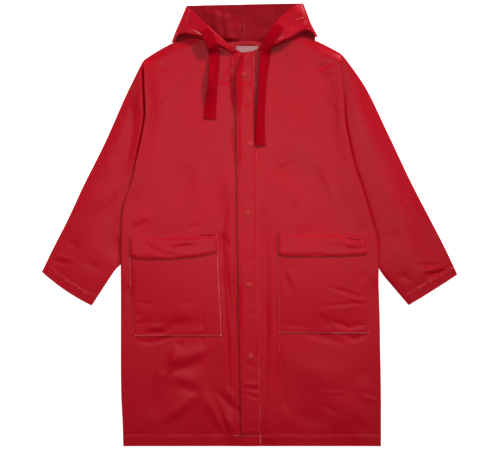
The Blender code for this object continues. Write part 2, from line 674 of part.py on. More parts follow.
# Hood --------------------------------------------------------------------------------
def hood_mid(share, depth, fold_top):
    """Height of the middle of the hood's side over the table."""
    seam = mix(*HOOD_SEAM_MID, ramp(share, 0.45, 0.7))
    rising = min(depth / HOOD_BULGE, 1.0)
    swell = math.sqrt(max(1 - (1 - rising) ** 2, 0.0)) * (1 - HOOD_FALL * depth)
    loft = HOOD_LOFT * mix(math.sin(math.pi * share) ** 0.8, FOLD_LOFT, ramp(share, 0.75, 1.0))
    loft = max(loft, LEAST_LOFT)
    return mix(seam + loft * swell, fold_top, ramp(share, 0.86, 1.0))


def make_hood(side):
    sign = SIDES[side]
    rows = []
    for depth in HOOD_ROWS:
        fold_x, fold_y, radius = smooth(HOOD_FOLD[side], depth)
        outer = np.array([fold_x - sign * WALL / 2, fold_y])
        row = []
        for share in HOOD_COLUMNS:
            low_x, low_y, high_x, high_y = smooth(HOOD_TOP[side], share)
            x, y = mix(low_x, high_x, depth), mix(low_y, high_y, depth)
            if share == 1.0:
                x, y = outer[0] - sign * radius, outer[1]
            row.append((x, y, hood_mid(share, depth, TABLE_MID + 2 * radius)))
        for k in range(1, FOLD_STEPS + 1):
            angle = math.pi * k / FOLD_STEPS
            inward = radius * (1 - math.sin(angle))
            row.append((outer[0] - sign * inward, outer[1], TABLE_MID + radius * (1 + math.cos(angle))))
        for share in HOOD_BACK_COLUMNS:
            low_x, low_y, high_x, high_y = smooth(HOOD_BACK[side], share)
            row.append((mix(low_x, high_x, depth), mix(low_y, high_y, depth), TABLE_MID))
        rows.append(row)
    return cloth("hood_" + side, rows)


# Small pieces ------------------------------------------------------------------------
def make_snap(name, x, y, base, radius):
    """Domed cap of a press-stud, a turned profile."""
    mesh = bpy.data.meshes.new(name)
    profile = bmesh.new()
    points = [profile.verts.new((out * radius * MM, 0.0, up * SNAP_HEIGHT * MM)) for out, up in SNAP_PROFILE]
    for start, end in zip(points, points[1:]):
        profile.edges.new((start, end))
    profile.to_mesh(mesh)
    profile.free()
    body = link(name, mesh, "snap")
    body.location = (x * MM, y * MM, base * MM)
    turn = body.modifiers.new("turn", "SCREW")
    turn.steps = SNAP_STEPS
    turn.render_steps = SNAP_STEPS
    turn.use_merge_vertices = True
    turn.merge_threshold = 0.00001
    return body


def make_drawstring(side):
    """End of the flat tape, from the slit in the hood to its cut end."""
    route = DRAWSTRING[side]
    points = []
    for k, (x, y, z, turn) in enumerate(route):
        before = np.array(route[max(k - 1, 0)][:3], dtype=float)
        after = np.array(route[min(k + 1, len(route) - 1)][:3], dtype=float)
        forward = unit(after - before)
        level = unit(np.array([forward[1], -forward[0], 0.0]))
        raised = np.cross(level, forward)
        wide = level * math.cos(math.radians(turn)) + raised * math.sin(math.radians(turn))
        points.append([tuple(np.array([x, y, z]) + wide * TAPE_WIDTH * share) for share in (-0.5, 0, 0.5)])
    return cloth("drawstring_" + side, points, kind="tape", wall=TAPE)


def make_label():
    (left, right), (low, high) = LABEL["x"], LABEL["y"]
    shape = [(left, low), (right, low), (right, high), (left, high)]
    return flat_plate("neck_label", shape, kind="label", base=LAYER, wall=LABEL["wall"])


def make_loop():
    """Hanger loop, a narrow tape that bows off the back of the neck."""
    (left, right), (low, high) = LOOP["x"], LOOP["y"]
    points = []
    for y in (low, high):
        line = []
        for k in range(LOOP["steps"] + 1):
            share = k / LOOP["steps"]
            z = SECOND_MID + LOOP["bow"] * math.sin(math.pi * share)
            line.append((mix(left, right, share), y, z))
        points.append(line)
    return cloth("hanger_loop", points, kind="tape")


def make_jacket():
    make_back()
    for side in SIDES:
        make_front(side)
        make_sleeve(side)
        make_hood(side)
        make_pocket(side)
        make_flap(side)
        make_drawstring(side)
    make_strip()
    for k, (x, y) in enumerate(STRIP_SNAPS, start=1):
        base = rest(x, y) + 2 * LAYER + WALL / 2 + GAP
        make_snap("snap_%d" % k, x, y, base, STRIP_SNAP_RADIUS)
    for side, snaps in CUFF_SNAPS.items():
        for k, (station, across) in enumerate(snaps, start=1):
            front, outer, back, bow = sleeve_ends(side, station)
            x, y = upper_place_on(front, outer, across, bow)
            base = arm_mid(station, across) + WALL / 2 + GAP
            make_snap("cuff_snap_%s_%d" % (side, k), x, y, base, CUFF_SNAP_RADIUS)
    make_label()
    make_loop()


for old in list(bpy.data.objects):
    bpy.data.objects.remove(old)
jacket = bpy.data.collections.new("kids_rain_jacket")
bpy.context.scene.collection.children.link(jacket)
make_jacket()
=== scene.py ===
"""Looks of the kids rain jacket, laid flat: creased coated cloth, seams, stitches and trims.

Millimetres in the tables, metres in the scene. +X is the wearer's left, +Y runs up to the
hood and +Z up from the table, which is z = 0. "right" and "left" are the wearer's.
"""
import functools
import math

import bmesh
import bpy
import numpy as np
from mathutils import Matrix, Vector
from mathutils.bvhtree import BVHTree


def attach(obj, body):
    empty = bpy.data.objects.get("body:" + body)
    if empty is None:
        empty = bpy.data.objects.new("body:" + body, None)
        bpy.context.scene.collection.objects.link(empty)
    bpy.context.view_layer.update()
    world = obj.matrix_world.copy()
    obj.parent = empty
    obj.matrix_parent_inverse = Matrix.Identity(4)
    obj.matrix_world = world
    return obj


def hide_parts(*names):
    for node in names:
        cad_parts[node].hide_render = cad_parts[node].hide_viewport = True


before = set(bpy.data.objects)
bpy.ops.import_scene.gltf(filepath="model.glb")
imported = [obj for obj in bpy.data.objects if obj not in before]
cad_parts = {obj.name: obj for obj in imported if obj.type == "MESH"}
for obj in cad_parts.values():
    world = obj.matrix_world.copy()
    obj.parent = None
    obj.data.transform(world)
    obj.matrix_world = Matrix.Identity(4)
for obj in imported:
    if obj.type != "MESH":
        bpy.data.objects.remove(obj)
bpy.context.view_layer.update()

MM = 0.001

# Cloth ------------
WALL = 1.0  # thickness of the coated cloth
GAP = 0.35  # clear space at a seam and between layers
SEAM = 0.06  # clear space along the raglan seams
LAYER = WALL + GAP  # height that one more layer adds
FOLD_RADIUS = 0.95  # middle of the cloth where it turns back on itself
FOLD_STEPS = 8  # flat stretches round such a turn
TABLE_MID = WALL / 2  # middle of a layer that lies on the table
SECOND_MID = TABLE_MID + LAYER
FRONT_MID = 3.9  # middle of the fronts over the table, away from their edges
HEM_MID = 2.5  # the same at the hem
HEM_RISE = 45.0  # length from the hem over which it rises
EDGE_RISE = 22.0  # width beside the turned edges that they hold up
LOWEST_FRONT = 2.1  # the fronts never come closer to the table than this
TAPE = 1.2  # thickness of the flat drawstring
TAPE_WIDTH = 19.0  # of the flat drawstring
CELL = 2.7  # size of a cell in the cloth's grids
FINE_CELL = CELL * 0.9  # the same in small pieces
FINE_CLEAR = 0.6  # share of a fine step that coarser places keep clear of it
SMOOTH_ANGLE = math.radians(75)  # corners of the cloth flatter than this look round

SIDES = {"right": -1, "left": 1}

# Outline of the body: y up the jacket, x of the side, then of the edge that lies on the sleeve
BODY_EDGE = {
    "right": [
        (-387, -221.5), (-341, -223.0), (-290, -225.4), (-228, -225.9), (-149, -225.8),
        (-70, -225.8), (-3.5, -224.9), (35, -221.5), (67, -210.0), (114, -198.6),
        (153, -189.5), (183, -184.0), (193.2, -182.7)],
    "left": [
        (-387, 229.1), (-303, 229.1), (-201, 227.5), (-166, 227.0), (-96, 224.9),
        (-65, 224.7), (-37, 223.6), (17.5, 210.0), (68, 195.1), (114, 180.2),
        (153, 171.8), (183, 166.4), (197.8, 165.6)],
}
RAGLAN_FOOT = {"right": (-182.7, 193.2), "left": (165.6, 197.8)}
RAGLAN_TOP = {"right": (-64.8, 315.9), "left": (52.5, 316.8)}
SHOULDER_CORNER = {"right": (-186.5, 286.8), "left": (160.3, 298.0)}

# Closing strip: y, x of its free edge, x of its sewn edge
STRIP = [
    (-364, -14.9, 18.4), (-262, -16.6, 17.4), (-219, -17.4, 16.6), (-175, -18.4, 15.2),
    (-88, -19.6, 13.6), (0, -21.9, 12.8), (65, -22.3, 12.4), (131, -22.6, 12.0),
    (205, -23.2, 10.4), (257, -23.8, 8.4), (278, -20.0, 7.2), (299, -14.0, 6.0)]
RIGHT_FRONT_ENDS = 0.85  # share of the strip's width where the right front ends below it
LEFT_FRONT_ENDS = 0.03
STRIP_STEP = 0.07  # such a share from column to column
STRIP_FINE = (0.93, 0.06, 0.03)  # middle, reach and step of closer columns
STRIP_UPPER_ROWS = 46  # rows above the raglan foot
LIFTED = 0.24  # share of the strip's width that its lifted edge takes
# How far the free edge stands up: y, lift
STRIP_LIFT = [(-364, 1.1), (-200, 1.3), (-155, 2.6), (-115, 2.6), (-90, 1.3), (0, 1.0), (100, 1.1),
              (122, 3.0), (160, 3.0), (185, 1.9), (215, 2.6), (248, 4.6), (272, 4.6), (300, 3.0)]
HEM_Y = -386.5
STRIP_FOOT_Y = -364.0
FRONT_WIDTH = 207.0  # of a front, side to strip
SIDE_FINE = (0.02, 0.008, 0.004)  # share of that width, reach and step of closer columns
HIDDEN_COLUMNS = 13  # columns of a front below the strip
UPPER_RUN = 160  # length of the fronts above the raglan foot
HEM_FINE = (3.0, 0.75)  # reach and step of closer rows at the hem's stitches

NECKLINE_Y = {"right": 300.5, "left": 303.5}  # where each front's neckline meets the strip
# Its rise beside the strip: height, share of the front's width, reach as such a share
NECK_RISE = {"right": (5.0, 0.84, 0.10), "left": (6.0, 0.78, 0.16)}
NECK_SAG = 5.0  # how far the neckline curves down between the seam and the strip
NECK_SLANT = 3.0  # rise of the neckline across the strip

# Pleat at the side: depth of the cloth turned under, and the height it lies at
FLAP_DEPTH = {"side": 3.5, "sleeve": 14.7}
FLAP_MID = {"side": SECOND_MID, "sleeve": SECOND_MID + 2 * FOLD_RADIUS}
# How much further the edge stands off the sleeve: y, height
EDGE_LIFT = {
    "right": [(-387, 0.0), (-100, 0.0), (0, 0.8), (60, 1.4), (120, 2.6), (180, 4.4), (235, 5.4), (270, 4.6),
              (287, 2.4)],
    "left": [(-387, 0.0), (-100, 0.0), (0, 0.5), (80, 1.0), (150, 2.0), (230, 2.6), (298, 1.6)],
}
PLEAT_FROM_Y = -125.0  # the side lies flat below this, and on the sleeve above
PLEAT_RISE = 45.0  # this length of it
PLEAT_FADES = (0.6, 0.93)  # share from the foot of the seam to the shoulder's corner

FOLD_DEPTH = 1.1  # the largest folds are this much higher than their table says
FOLDS_FROM = (4, 26)  # distances from the edge between which they grow to their height
CREASES_FROM = (1, 9)  # the same for the creases
SETTLE = 0.16  # how softly the fronts come down to their lowest height

# Largest folds of the fronts: from (x, y) to (x, y), width across, height of the ridge
FOLDS = [
    (-126, -212, -158, -262, 44, 1.5),
    (-90, -292, -20, -372, 50, 1.2),
    (-70, -322, -44, -386, 36, -1.0),
    (-36, 90, -34, -380, 34, 1.1),
    (34, 40, 33, -380, 34, 1.1),
    (66, -6, 128, 46, 44, 0.4),
    (182, -276, 226, -300, 50, 1.0),
    (-210, -12, -172, 22, 44, 1.1),
    (52, 120, 100, 70, 70, -0.9),
    (158, 262, 120, 300, 44, 1.2),
    (-100, -300, -190, -360, 80, 0.9),
    (90, -230, 190, -350, 90, 0.9),
]

CREASE_DEPTH = 1.2  # the fronts' creases are this much deeper than their table says
# Creases: height (a trough's is negative), width across, then points (x, y) along it
FRONT_CREASES = [
    (-1.5, 12, (-136, -220), (-146, -240), (-154, -262)),
    (-0.7, 8, (-130, -205), (-114, -213)),
    (1.1, 12, (-124, -215), (-140, -244)),
    (1.5, 22, (-144, -241), (-116, -233), (-92, -224), (-76, -212)),
    (-1.5, 20, (-140, -257), (-116, -250), (-92, -242), (-76, -230)),
    (1.0, 22, (-132, -262), (-112, -268), (-90, -278)),
    (-1.1, 18, (-128, -280), (-108, -286), (-88, -296)),
    (1.5, 18, (-96, -297), (-122, -322), (-160, -346)),
    (-1.1, 26, (-82, -275), (-95, -308), (-131, -341), (-172, -351)),
    (1.1, 12, (-73, -306), (-62, -330), (-47, -357)),
    (-1.4, 9, (-65, -296), (-51, -334), (-36, -370), (-30, -384)),
    (0.9, 9, (-45, -331), (-26, -361)),
    (-0.9, 10, (-61, -289), (-38, -312), (-17, -331)),
    (0.8, 10, (-44, -282), (-17, -320)),
    (-0.7, 7, (-184, -324), (-196, -355)),
    (-0.7, 6, (-205, -327), (-213, -361)),
    (-1.0, 8, (-200, -202), (-171, -205), (-148, -199), (-131, -194)),
    (-0.9, 14, (-213, -12), (-196, -4), (-180, 9)),
    (0.7, 12, (-208, 2), (-176, 20)),
    (-0.4, 7, (-110, -5), (-81, -1)),
    (-0.8, 38, (-112, 108), (-119, 72), (-124, 34)),
    (0.5, 24, (-88, 110), (-96, 40)),
    (-0.5, 12, (-61, 79), (-58, 18)),
    (-0.9, 10, (-38, 44), (-43, 20), (-49, -6)),
    (0.6, 10, (-30, 60), (-32, -40), (-29, -130), (-30, -220), (-27, -350)),
    (-0.8, 9, (-47, -10), (-44, -110), (-40, -190), (-37, -262), (-34, -322)),
    (-0.5, 7, (-27, -70), (-25, -130), (-24, -200)),
    (-0.7, 9, (-58, 254), (-42, 252), (-29, 247)),
    (0.4, 10, (-56, 243), (-40, 242), (-28, 238)),
    (-0.7, 6, (-40, 273), (-34, 270)),
    (-0.9, 8, (-176, 288), (-162, 280), (-145, 269)),
    (0.6, 8, (-172, 278), (-148, 262)),
    (-0.5, 5, (-174, 191), (-152, 192)),
    (0.5, 5, (-172, 186), (-154, 186)),
    (3.3, 18, (-16, 322), (-19, 285), (-23, 262), (-24, 230), (-24, 200)),
    (-1.4, 12, (-37, 306), (-37, 268), (-34, 240), (-30, 215)),
    (-1.4, 10, (-26.5, 182), (-26.5, 118)),
    (-0.5, 6, (-219, -24), (-219, -60)),
    (-1.0, 7, (117, 273), (134, 279), (151, 287)),
    (0.9, 8, (118, 262), (136, 269), (156, 278)),
    (-0.6, 6, (127, 252), (140, 262), (157, 268)),
    (1.2, 9, (142, 241), (154, 246), (167, 254)),
    (-1.1, 9, (140, 232), (154, 236), (166, 243)),
    (-0.6, 18, (150, 232), (149, 190), (147, 152)),
    (-0.7, 26, (106, 108), (120, 76), (138, 30)),
    (0.6, 14, (122, 112), (148, 40)),
    (0.8, 24, (152, 120), (166, 76), (182, 30)),
    (-0.9, 26, (52, 104), (64, 88)),
    (-0.35, 9, (79, 2), (98, 15), (122, 33)),
    (0.4, 30, (70, -8), (104, 8), (136, 36)),
    (-0.4, 14, (72, 36), (84, 22)),
    (-1.1, 11, (31, 20), (30, -80), (29, -190), (28, -300), (20, -362)),
    (0.8, 9, (44, -60), (44, -180), (46, -260), (50, -306)),
    (-0.6, 8, (54, -200), (56, -262), (61, -312)),
    (-1.0, 8, (197, -291), (212, -297), (229, -303)),
    (0.9, 8, (196, -299), (212, -304), (229, -310)),
    (-0.3, 6, (126, -284), (148, -288), (176, -287)),
    (-0.25, 5, (134, -296), (152, -300), (170, -298)),
    (-0.4, 7, (122, -313), (140, -321), (158, -334)),
    (-0.8, 26, (79, -326), (104, -338), (131, -345)),
    (0.8, 20, (50, -316), (62, -334), (73, -353)),
    (-0.9, 20, (176, -335), (192, -350), (211, -360)),
    (-1.2, 8, (163, -193), (182, -200), (204, -192)),
    (-0.8, 13, (98, -190), (139, -199), (165, -208)),
    (-1.0, 6, (212.5, -100), (213, -180), (214, -246)),
    (-0.5, 8, (218, -40), (219, -90)),
    (-1.6, 14, (-214, -22), (-214, -90), (-209, -150)),
    (-0.4, 5, (-82.6, -196), (-83, -222)),
    (-1.1, 8, (-50, -12), (-49, -58)),
    (-0.8, 5, (-50.5, -76), (-46.7, -114)),
    (-0.8, 6, (-38.5, -78), (-39.5, -98), (-34, -128), (-32.4, -158), (-29.5, -190)),
    (-0.6, 6, (-32.4, -97), (-24, -120)),
    (-0.6, 8, (-46, -20), (-34, -46)),
    (-0.5, 8, (46, -12), (46, -40), (44, -60)),
    (-0.7, 10, (28, -128), (28, -190), (27, -222)),
    (-0.6, 40, (-190, -300), (-150, -330), (-110, -372)),
    (0.6, 36, (90, -250), (150, -262), (196, -246)),
    (-0.6, 34, (60, 240), (96, 200)),
    (0.5, 40, (-100, 200), (-80, 140)),
]
STRIP_CREASE = 0.7  # share of their heights that the strip takes
STRIP_CREASES_FROM = (-24, -15)  # x between which they grow to it
HOOD_CREASE = 0.6  # share that the hood's side takes
SEAM_CREASE = 0.5  # share that a bag takes at its seams
CREASES_WHOLE = 7.0  # distance from them where it takes all
BAG_CREASE = {"right": 0.95, "left": 0.65}  # share of these heights that each bag takes
POCKET_CREASES = [
    (-1.3, 8, (-187, -188), (-166, -189), (-143, -187)),
    (0.9, 8, (-176, -179), (-150, -178)),
    (-1.0, 17, (-150, -187), (-129, -171), (-99, -171)),
    (-0.6, 4, (-202, -172), (-186, -171), (-171, -167)),
    (-0.5, 4, (-202, -159), (-186, -155)),
    (-0.5, 5, (-202, -134), (-186, -136), (-166, -138)),
    (-0.4, 12, (-120, -140), (-96, -131)),
    (-0.5, 3.5, (-82.6, -130), (-82.6, -192)),
    (0.5, 10, (-104, -186), (-80, -184)),
    (-0.8, 10, (57, -78), (67, -106), (70, -117)),
    (0.6, 9, (66, -78), (77, -108)),
    (-0.5, 6, (70, -69), (78, -79)),
    (-1.1, 6, (136, -108), (164, -116), (188, -124.6), (204, -125.5)),
    (1.0, 8, (166, -123), (188, -131), (204, -131.5)),
    (-0.8, 5, (124, -142), (164, -139), (188, -135.5), (204, -138.5)),
    (0.6, 6, (160, -146), (188, -142), (203, -146)),
    (-1.6, 8, (135, -162), (150, -171), (166, -176), (174, -181), (185, -175.5), (202, -174)),
    (1.0, 8, (150, -180), (166, -186), (186, -184), (203, -184)),
    (-0.8, 9, (120, -155), (131, -168), (148, -180)),
    (-0.5, 6, (90, -174), (106, -183)),
    (-0.5, 5, (62, -172), (84, -176)),
    (-0.4, 4, (111, -58), (110.5, -74)),
    (-0.6, 12, (190, -84), (202, -98)),
]
FLAP_CREASES = [
    (-0.8, 7, (-187, -27), (-172, -43), (-151, -50.5), (-124, -52)),
    (0.6, 8, (-180, -46), (-150, -56)),
    (-0.7, 6, (-140, -41.5), (-114, -37), (-86, -35.5)),
    (0.5, 6, (-140, -34), (-100, -29)),
    (-0.5, 5, (-155, -26.5), (-138, -20)),
    (-0.5, 5, (-78, -25), (-77, -38)),
    (-1.0, 3, (-90, -19.5), (-74, -20.2), (-58, -19)),
    (0.7, 3, (-90, -16.6), (-60, -16.2)),
    (-1.3, 4.5, (146, -13.5), (157, -17.5), (168, -25), (180, -28), (201, -27.5)),
    (1.0, 8, (160, -27), (172, -34), (203, -34)),
    (-0.8, 5, (97, -50.5), (111, -52.4), (132, -48)),
    (-0.6, 3.5, (111.5, -18), (111, -42)),
    (-0.6, 5, (151, -39), (162, -30)),
    (0.5, 7, (60, -46), (96, -44)),
    (-0.6, 6, (128, -33), (146, -36)),
]
STRIP_CREASES = [
    (5.0, 46, (-16, 304), (10, 307)),
    (-1.1, 5, (-10, 247.5), (-4, 249.5), (8, 246)),
    (0.9, 6, (-12, 241), (8, 240)),
    (-0.8, 5, (-12, 212), (-3, 210.5), (8, 208)),
    (0.6, 6, (-14, 205), (8, 203)),
    (-0.7, 6, (-14, 262), (-12, 236)),
    (-1.2, 5, (-10, -284), (6, -287.5), (20, -286)),
    (0.9, 6, (-10, -277), (20, -279)),
    (-0.9, 5, (-11, -292), (8, -301), (20, -304)),
    (-0.4, 5, (-18, 112), (10, 116)),
    (-0.4, 6, (-18, 44), (8, 38)),
    (-0.4, 6, (-16, -66), (12, -60)),
    (-0.4, 6, (-16, -160), (14, -152)),
    (-0.4, 6, (-14, -240), (18, -250)),
    (-1.0, 4, (8, -229.5), (20, -230)),
]
SLEEVE_CREASES = [
    (-0.9, 7, (-344, -64), (-328, -66), (-311, -69)),
    (0.6, 8, (-340, -54), (-308, -60)),
    (-1.0, 24, (-260, 44), (-280, 18), (-302, -8)),
    (-0.8, 20, (-242, 94), (-258, 74), (-277, 54)),
    (0.7, 18, (-232, 70), (-262, 28)),
    (-0.6, 14, (-226, 130), (-240, 108)),
    (-1.1, 14, (-230, -20), (-236, -58)),
    (-0.5, 10, (-222, 192), (-214, 176)),
    (-0.7, 12, (-300, -40), (-318, -30)),
    (-0.7, 14, (-262, -80), (-286, -62)),
    (-0.9, 5, (266, 46), (276, 34), (289, 17)),
    (0.6, 6, (272, 50), (294, 20)),
    (-0.9, 7, (292, -70), (318, -70), (344, -73)),
    (-1.6, 6, (306, -89), (322, -86), (343, -79)),
    (1.2, 7, (300, -80), (322, -78), (344, -70)),
    (-1.0, 38, (276, 4), (306, -32), (333, -66)),
    (-0.6, 9, (196, 213), (206, 206), (217, 199)),
    (-0.5, 7, (198, 200), (210, 190)),
    (-0.7, 18, (216, 120), (236, 92)),
    (-0.6, 16, (246, -10), (262, -36)),
    (-0.8, 12, (262, -84), (282, -100)),
    (0.5, 12, (236, 60), (256, 30)),
]
HOOD_CREASES = [
    (-1.5, 8, (-104, 338), (-92, 330), (-82, 329)),
    (1.0, 8, (-122, 350), (-108, 340), (-96, 337)),
    (-0.8, 7, (-118, 368), (-112, 350)),
    (-1.6, 7, (76, 344), (88, 352), (101, 368)),
    (1.3, 8, (84, 340), (98, 350), (108, 356)),
    (-1.2, 6, (90, 336), (106, 345), (112, 346)),
    (0.9, 7, (60, 338), (76, 334)),
    (-0.8, 6, (44, 330), (56, 326)),
]
# Folds of the hood's inside: height, width to the right of the crest and to its left, points (x, y)
HOOD_LINING_FOLDS = [
    (5.4, 5, 12, (-59, 371), (-57, 352), (-55, 338), (-52, 329)),
    (5.6, 7, 11, (-44, 368), (-41, 350), (-38, 334), (-34, 322)),
    (2.0, 5, 8, (-80, 362), (-76, 350), (-72, 342)),
    (1.6, 5, 5, (-79, 384), (-75, 370)),
    (1.4, 5, 5, (-66, 384), (-63, 372)),
    (2.6, 10, 12, (-22, 350), (-20, 336), (-18, 322)),
    (2.2, 14, 12, (30, 340), (22, 330), (12, 323)),
    (1.4, 16, 20, (20, 372), (28, 356)),
]
# Pale cut edges and loose stitches: width, then points (x, y) along each
PALE_MARKS = {
    "front_right": [(1.5, (-30.5, 294), (-30.8, 280)), (0.9, (-31.5, 276), (-31.8, 268))],
    "front_left": [(3.0, (17.5, -366), (17.5, -382)), (0.6, (51.4, -196), (51.6, -222)),
                   (0.5, (51.8, -234), (52, -256))],
    "hood_right": [(2.0, (-98, 339.6), (-91, 335)), (2.6, (-91, 335), (-84, 330.4)),
                   (0.6, (-111, 352), (-101, 343))],
    "hood_left": [(1.8, (81.4, 357.6), (95.0, 362.4)), (2.2, (49.5, 324.6), (57.5, 325.8))],
    "sleeve_right": [(1.2, (-312, -102), (-301.5, -106)), (1.3, (-291, -116), (-284.5, -120.4)),
                     (0.7, (-352, -80), (-330, -90))],
    "sleeve_left": [(1.3, (280.5, -120.5), (283.5, -118.5)), (1.2, (291, -109), (308, -102)),
                    (1.8, (351, -75.6), (358.5, -71)), (0.8, (318, -97), (344, -81))],
}
# Soft lifts of the back panel, seen from below
BACK_CREASES = [
    (0.45, 14, (-150, -300), (-110, -210), (-120, -120)),
    (0.40, 12, (120, -330), (90, -240), (60, -190)),
    (0.35, 9, (-40, -60), (20, -20), (90, -30)),
    (0.45, 16, (-90, 60), (-60, 150), (-20, 210)),
    (0.40, 12, (40, 90), (100, 160)),
    (0.35, 8, (-190, -160), (-150, -150)),
    (0.35, 8, (170, -100), (196, -60)),
    (0.40, 10, (-20, -350), (10, -290)),
]

BACK_CREASES_FROM = (2, 20)  # distances from the panel's sides between which they grow
BACK_PALE = 0.6  # width of the pale line along the panel's hem
BACK_CELL = 1.3  # size of the back panel's cells, as a share of CELL
BACK_COLUMNS = 130
CREASE_STOPS = (0.02, 0.98)  # shares of a crease's run past which it swells no less
CREASE_SWELL = 0.6  # power of that swell
CREASE_WIDTH = (0.75, 0.35)  # share of its half width at its ends, and what the swell adds
LINING_FADES = (9, 5)  # length before and past a lining fold's lower end, in which it begins

# Sleeves: station along the sleeve, then x, y of the front seam, outer fold and back seam.
# 0 is the neck and 1 the edge that lies on the sleeve, 2 the start of the arm, 8 the cuff.
SLEEVE = {
    "right": [
        (0.0, -64.8, 315.9, -87.5, 331.1, -62.1, 319.1),
        (0.25, -94.2, 285.2, -112.6, 325.3, -77.0, 286.0),
        (0.5, -123.7, 254.5, -137.4, 317.2, -91.0, 253.8),
        (1.0, -182.7, 193.2, -185.0, 288.8, -122.5, 185.5),
        (2.0, -168.0, 193.2, -188.0, 284.7, -126.9, 175.0),
        (3.0, -175.0, 148.8, -215.6, 229.2, -147.0, 126.0),
        (4.0, -189.5, 82.2, -253.8, 143.5, -171.5, 61.2),
        (5.0, -207.0, 17.5, -290.5, 70.0, -197.8, -3.5),
        (6.0, -212.6, -47.2, -321.1, 4.4, -224.3, -66.5),
        (6.5, -235.9, -78.8, -335.5, -23.6, -235.9, -78.8),
        (7.0, -254.6, -106.8, -350.0, -52.5, -254.6, -106.8),
        (8.0, -276.8, -140.9, -364.0, -82.2, -276.8, -140.9)],
    "left": [
        (0.0, 52.5, 316.8, 75.2, 333.7, 49.9, 319.1),
        (0.25, 80.8, 287.0, 97.5, 329.0, 66.5, 286.0),
        (0.5, 109.1, 257.3, 120.8, 319.9, 82.2, 253.8),
        (1.0, 165.6, 197.8, 158.2, 300.1, 115.5, 185.5),
        (2.0, 150.5, 197.8, 162.4, 296.1, 119.9, 175.0),
        (3.0, 157.0, 148.8, 200.4, 243.2, 141.8, 126.0),
        (4.0, 173.2, 82.2, 242.4, 157.5, 168.0, 61.2),
        (5.0, 195.0, 17.5, 282.3, 73.5, 194.2, -3.5),
        (6.0, 211.0, -47.2, 317.6, 5.2, 222.8, -70.0),
        (6.5, 231.9, -85.8, 333.4, -25.2, 231.9, -85.8),
        (7.0, 249.6, -107.3, 348.2, -55.1, 249.6, -107.3),
        (8.0, 277.4, -140.0, 362.6, -86.4, 277.4, -140.0)],
}
ARM_LOFT = {"right": 3.0, "left": 4.4}  # the middle of the arm's upper layer over its edges
ARM_RISE = {"right": 1.0, "left": 0.5}  # how steeply it rises beside the body, steeper when smaller
ARM_STARTS = {"right": 16.0, "left": 1.2}  # how far beside the body's edge it starts to rise
ARM_FREE = (6.0, 6.6)  # stations between which the arm comes out from the body
ARM_OUTER_FALL = 1.2  # how steeply its outer half falls
ARM_LOFTS = (2.0, 3.4)  # stations between which the arm takes its loft
ARM_EDGE_FALLS = 0.6  # share across where its edge starts down to the outer fold
ARMPIT = (0.8, 4.0)  # distances from the body between which the armpit's cloth stands up
ARMPIT_STATIONS = ((2.0, 2.5), (2.9, 4.3))  # where that begins and where it fades
MOST_HIDDEN = 0.5  # share of the arm's width that may stay flat beside the body
ARM_BESIDE = {"right": 6.2, "left": 0.0}  # how far the armpit's cloth stands up beside the body
ARM_FALL = 27.0  # width over which it falls away from there
CUFF_LOFT = 0.6  # share of the loft that is left at the cuff
CUFF_BOW = {"right": 3.5, "left": 0.6}  # how far the cuff's edge bows out
SHOULDER_FALL = (0.62, 0.86)  # where the shoulder starts down to its fold, at the neck, at the corner

SLEEVE_ACROSS = np.linspace(0, 1, 44)
SLEEVE_UNDER = np.linspace(0, 1, 30)[1:]
RAGLAN_RUN = 150  # length of the shoulder, neck to corner
STATION_RUN = 62  # length of the arm from one station to the next
CUFF_FINE = (7.5, 0.14, 0.022)  # station, reach and step of closer rows at the cuff's stitches
CUFF_RUN = 105  # length round the upper layer of the cuff
CUFF_FADES = (36, 50)  # distances from the cuff between which its hem's marks fade
CUFF_BAND_SOFT = 0.9
CUFF_STITCHED = (0.02, 0.99, 30)  # share where the cuff's stitches start, where they end, points
# Shares across between which the creases fade at the edges
SHOULDER_CREASES = ((0.8, 1.0), (0.0, 0.1))
ARM_CREASES = ((0.0, 0.1), (0.93, 1.0))

# Hood: share from the front end to the side fold, then x, y of the lower edge and of the opening
HOOD_TOP = {
    "right": [
        (0.00, -31.0, 300.5, -23.6, 302.6),
        (0.15, -48.0, 308.0, -39.0, 316.8),
        (0.35, -68.0, 316.5, -59.0, 334.0),
        (0.55, -87.0, 325.5, -77.0, 350.5),
        (0.70, -102.0, 329.0, -90.0, 363.5),
        (0.85, -120.0, 331.0, -101.0, 374.5),
        (1.00, -133.5, 321.5, -107.5, 381.2)],
    "left": [
        (0.00, 19.0, 303.0, 14.9, 306.6),
        (0.15, 33.0, 306.8, 24.0, 322.0),
        (0.35, 54.0, 315.5, 38.0, 343.5),
        (0.55, 74.0, 324.5, 53.0, 360.5),
        (0.70, 86.0, 332.5, 66.0, 373.0),
        (0.85, 100.0, 337.5, 79.0, 383.2),
        (1.00, 116.0, 331.0, 89.5, 386.4)],
}
# Side fold of the hood: share from neck to opening, x, y, radius of the fold
HOOD_FOLD = {
    "right": [(0.0, -137.2, 318.8, 5.0), (0.38, -127.8, 343.0, 5.3), (0.72, -117.6, 366.5, 4.2),
              (1.0, -111.0, 383.4, 1.2)],
    "left": [(0.0, 119.0, 329.0, 4.4), (0.35, 107.0, 351.0, 4.8), (0.7, 99.5, 371.0, 3.8),
             (1.0, 93.4, 387.6, 1.2)],
}
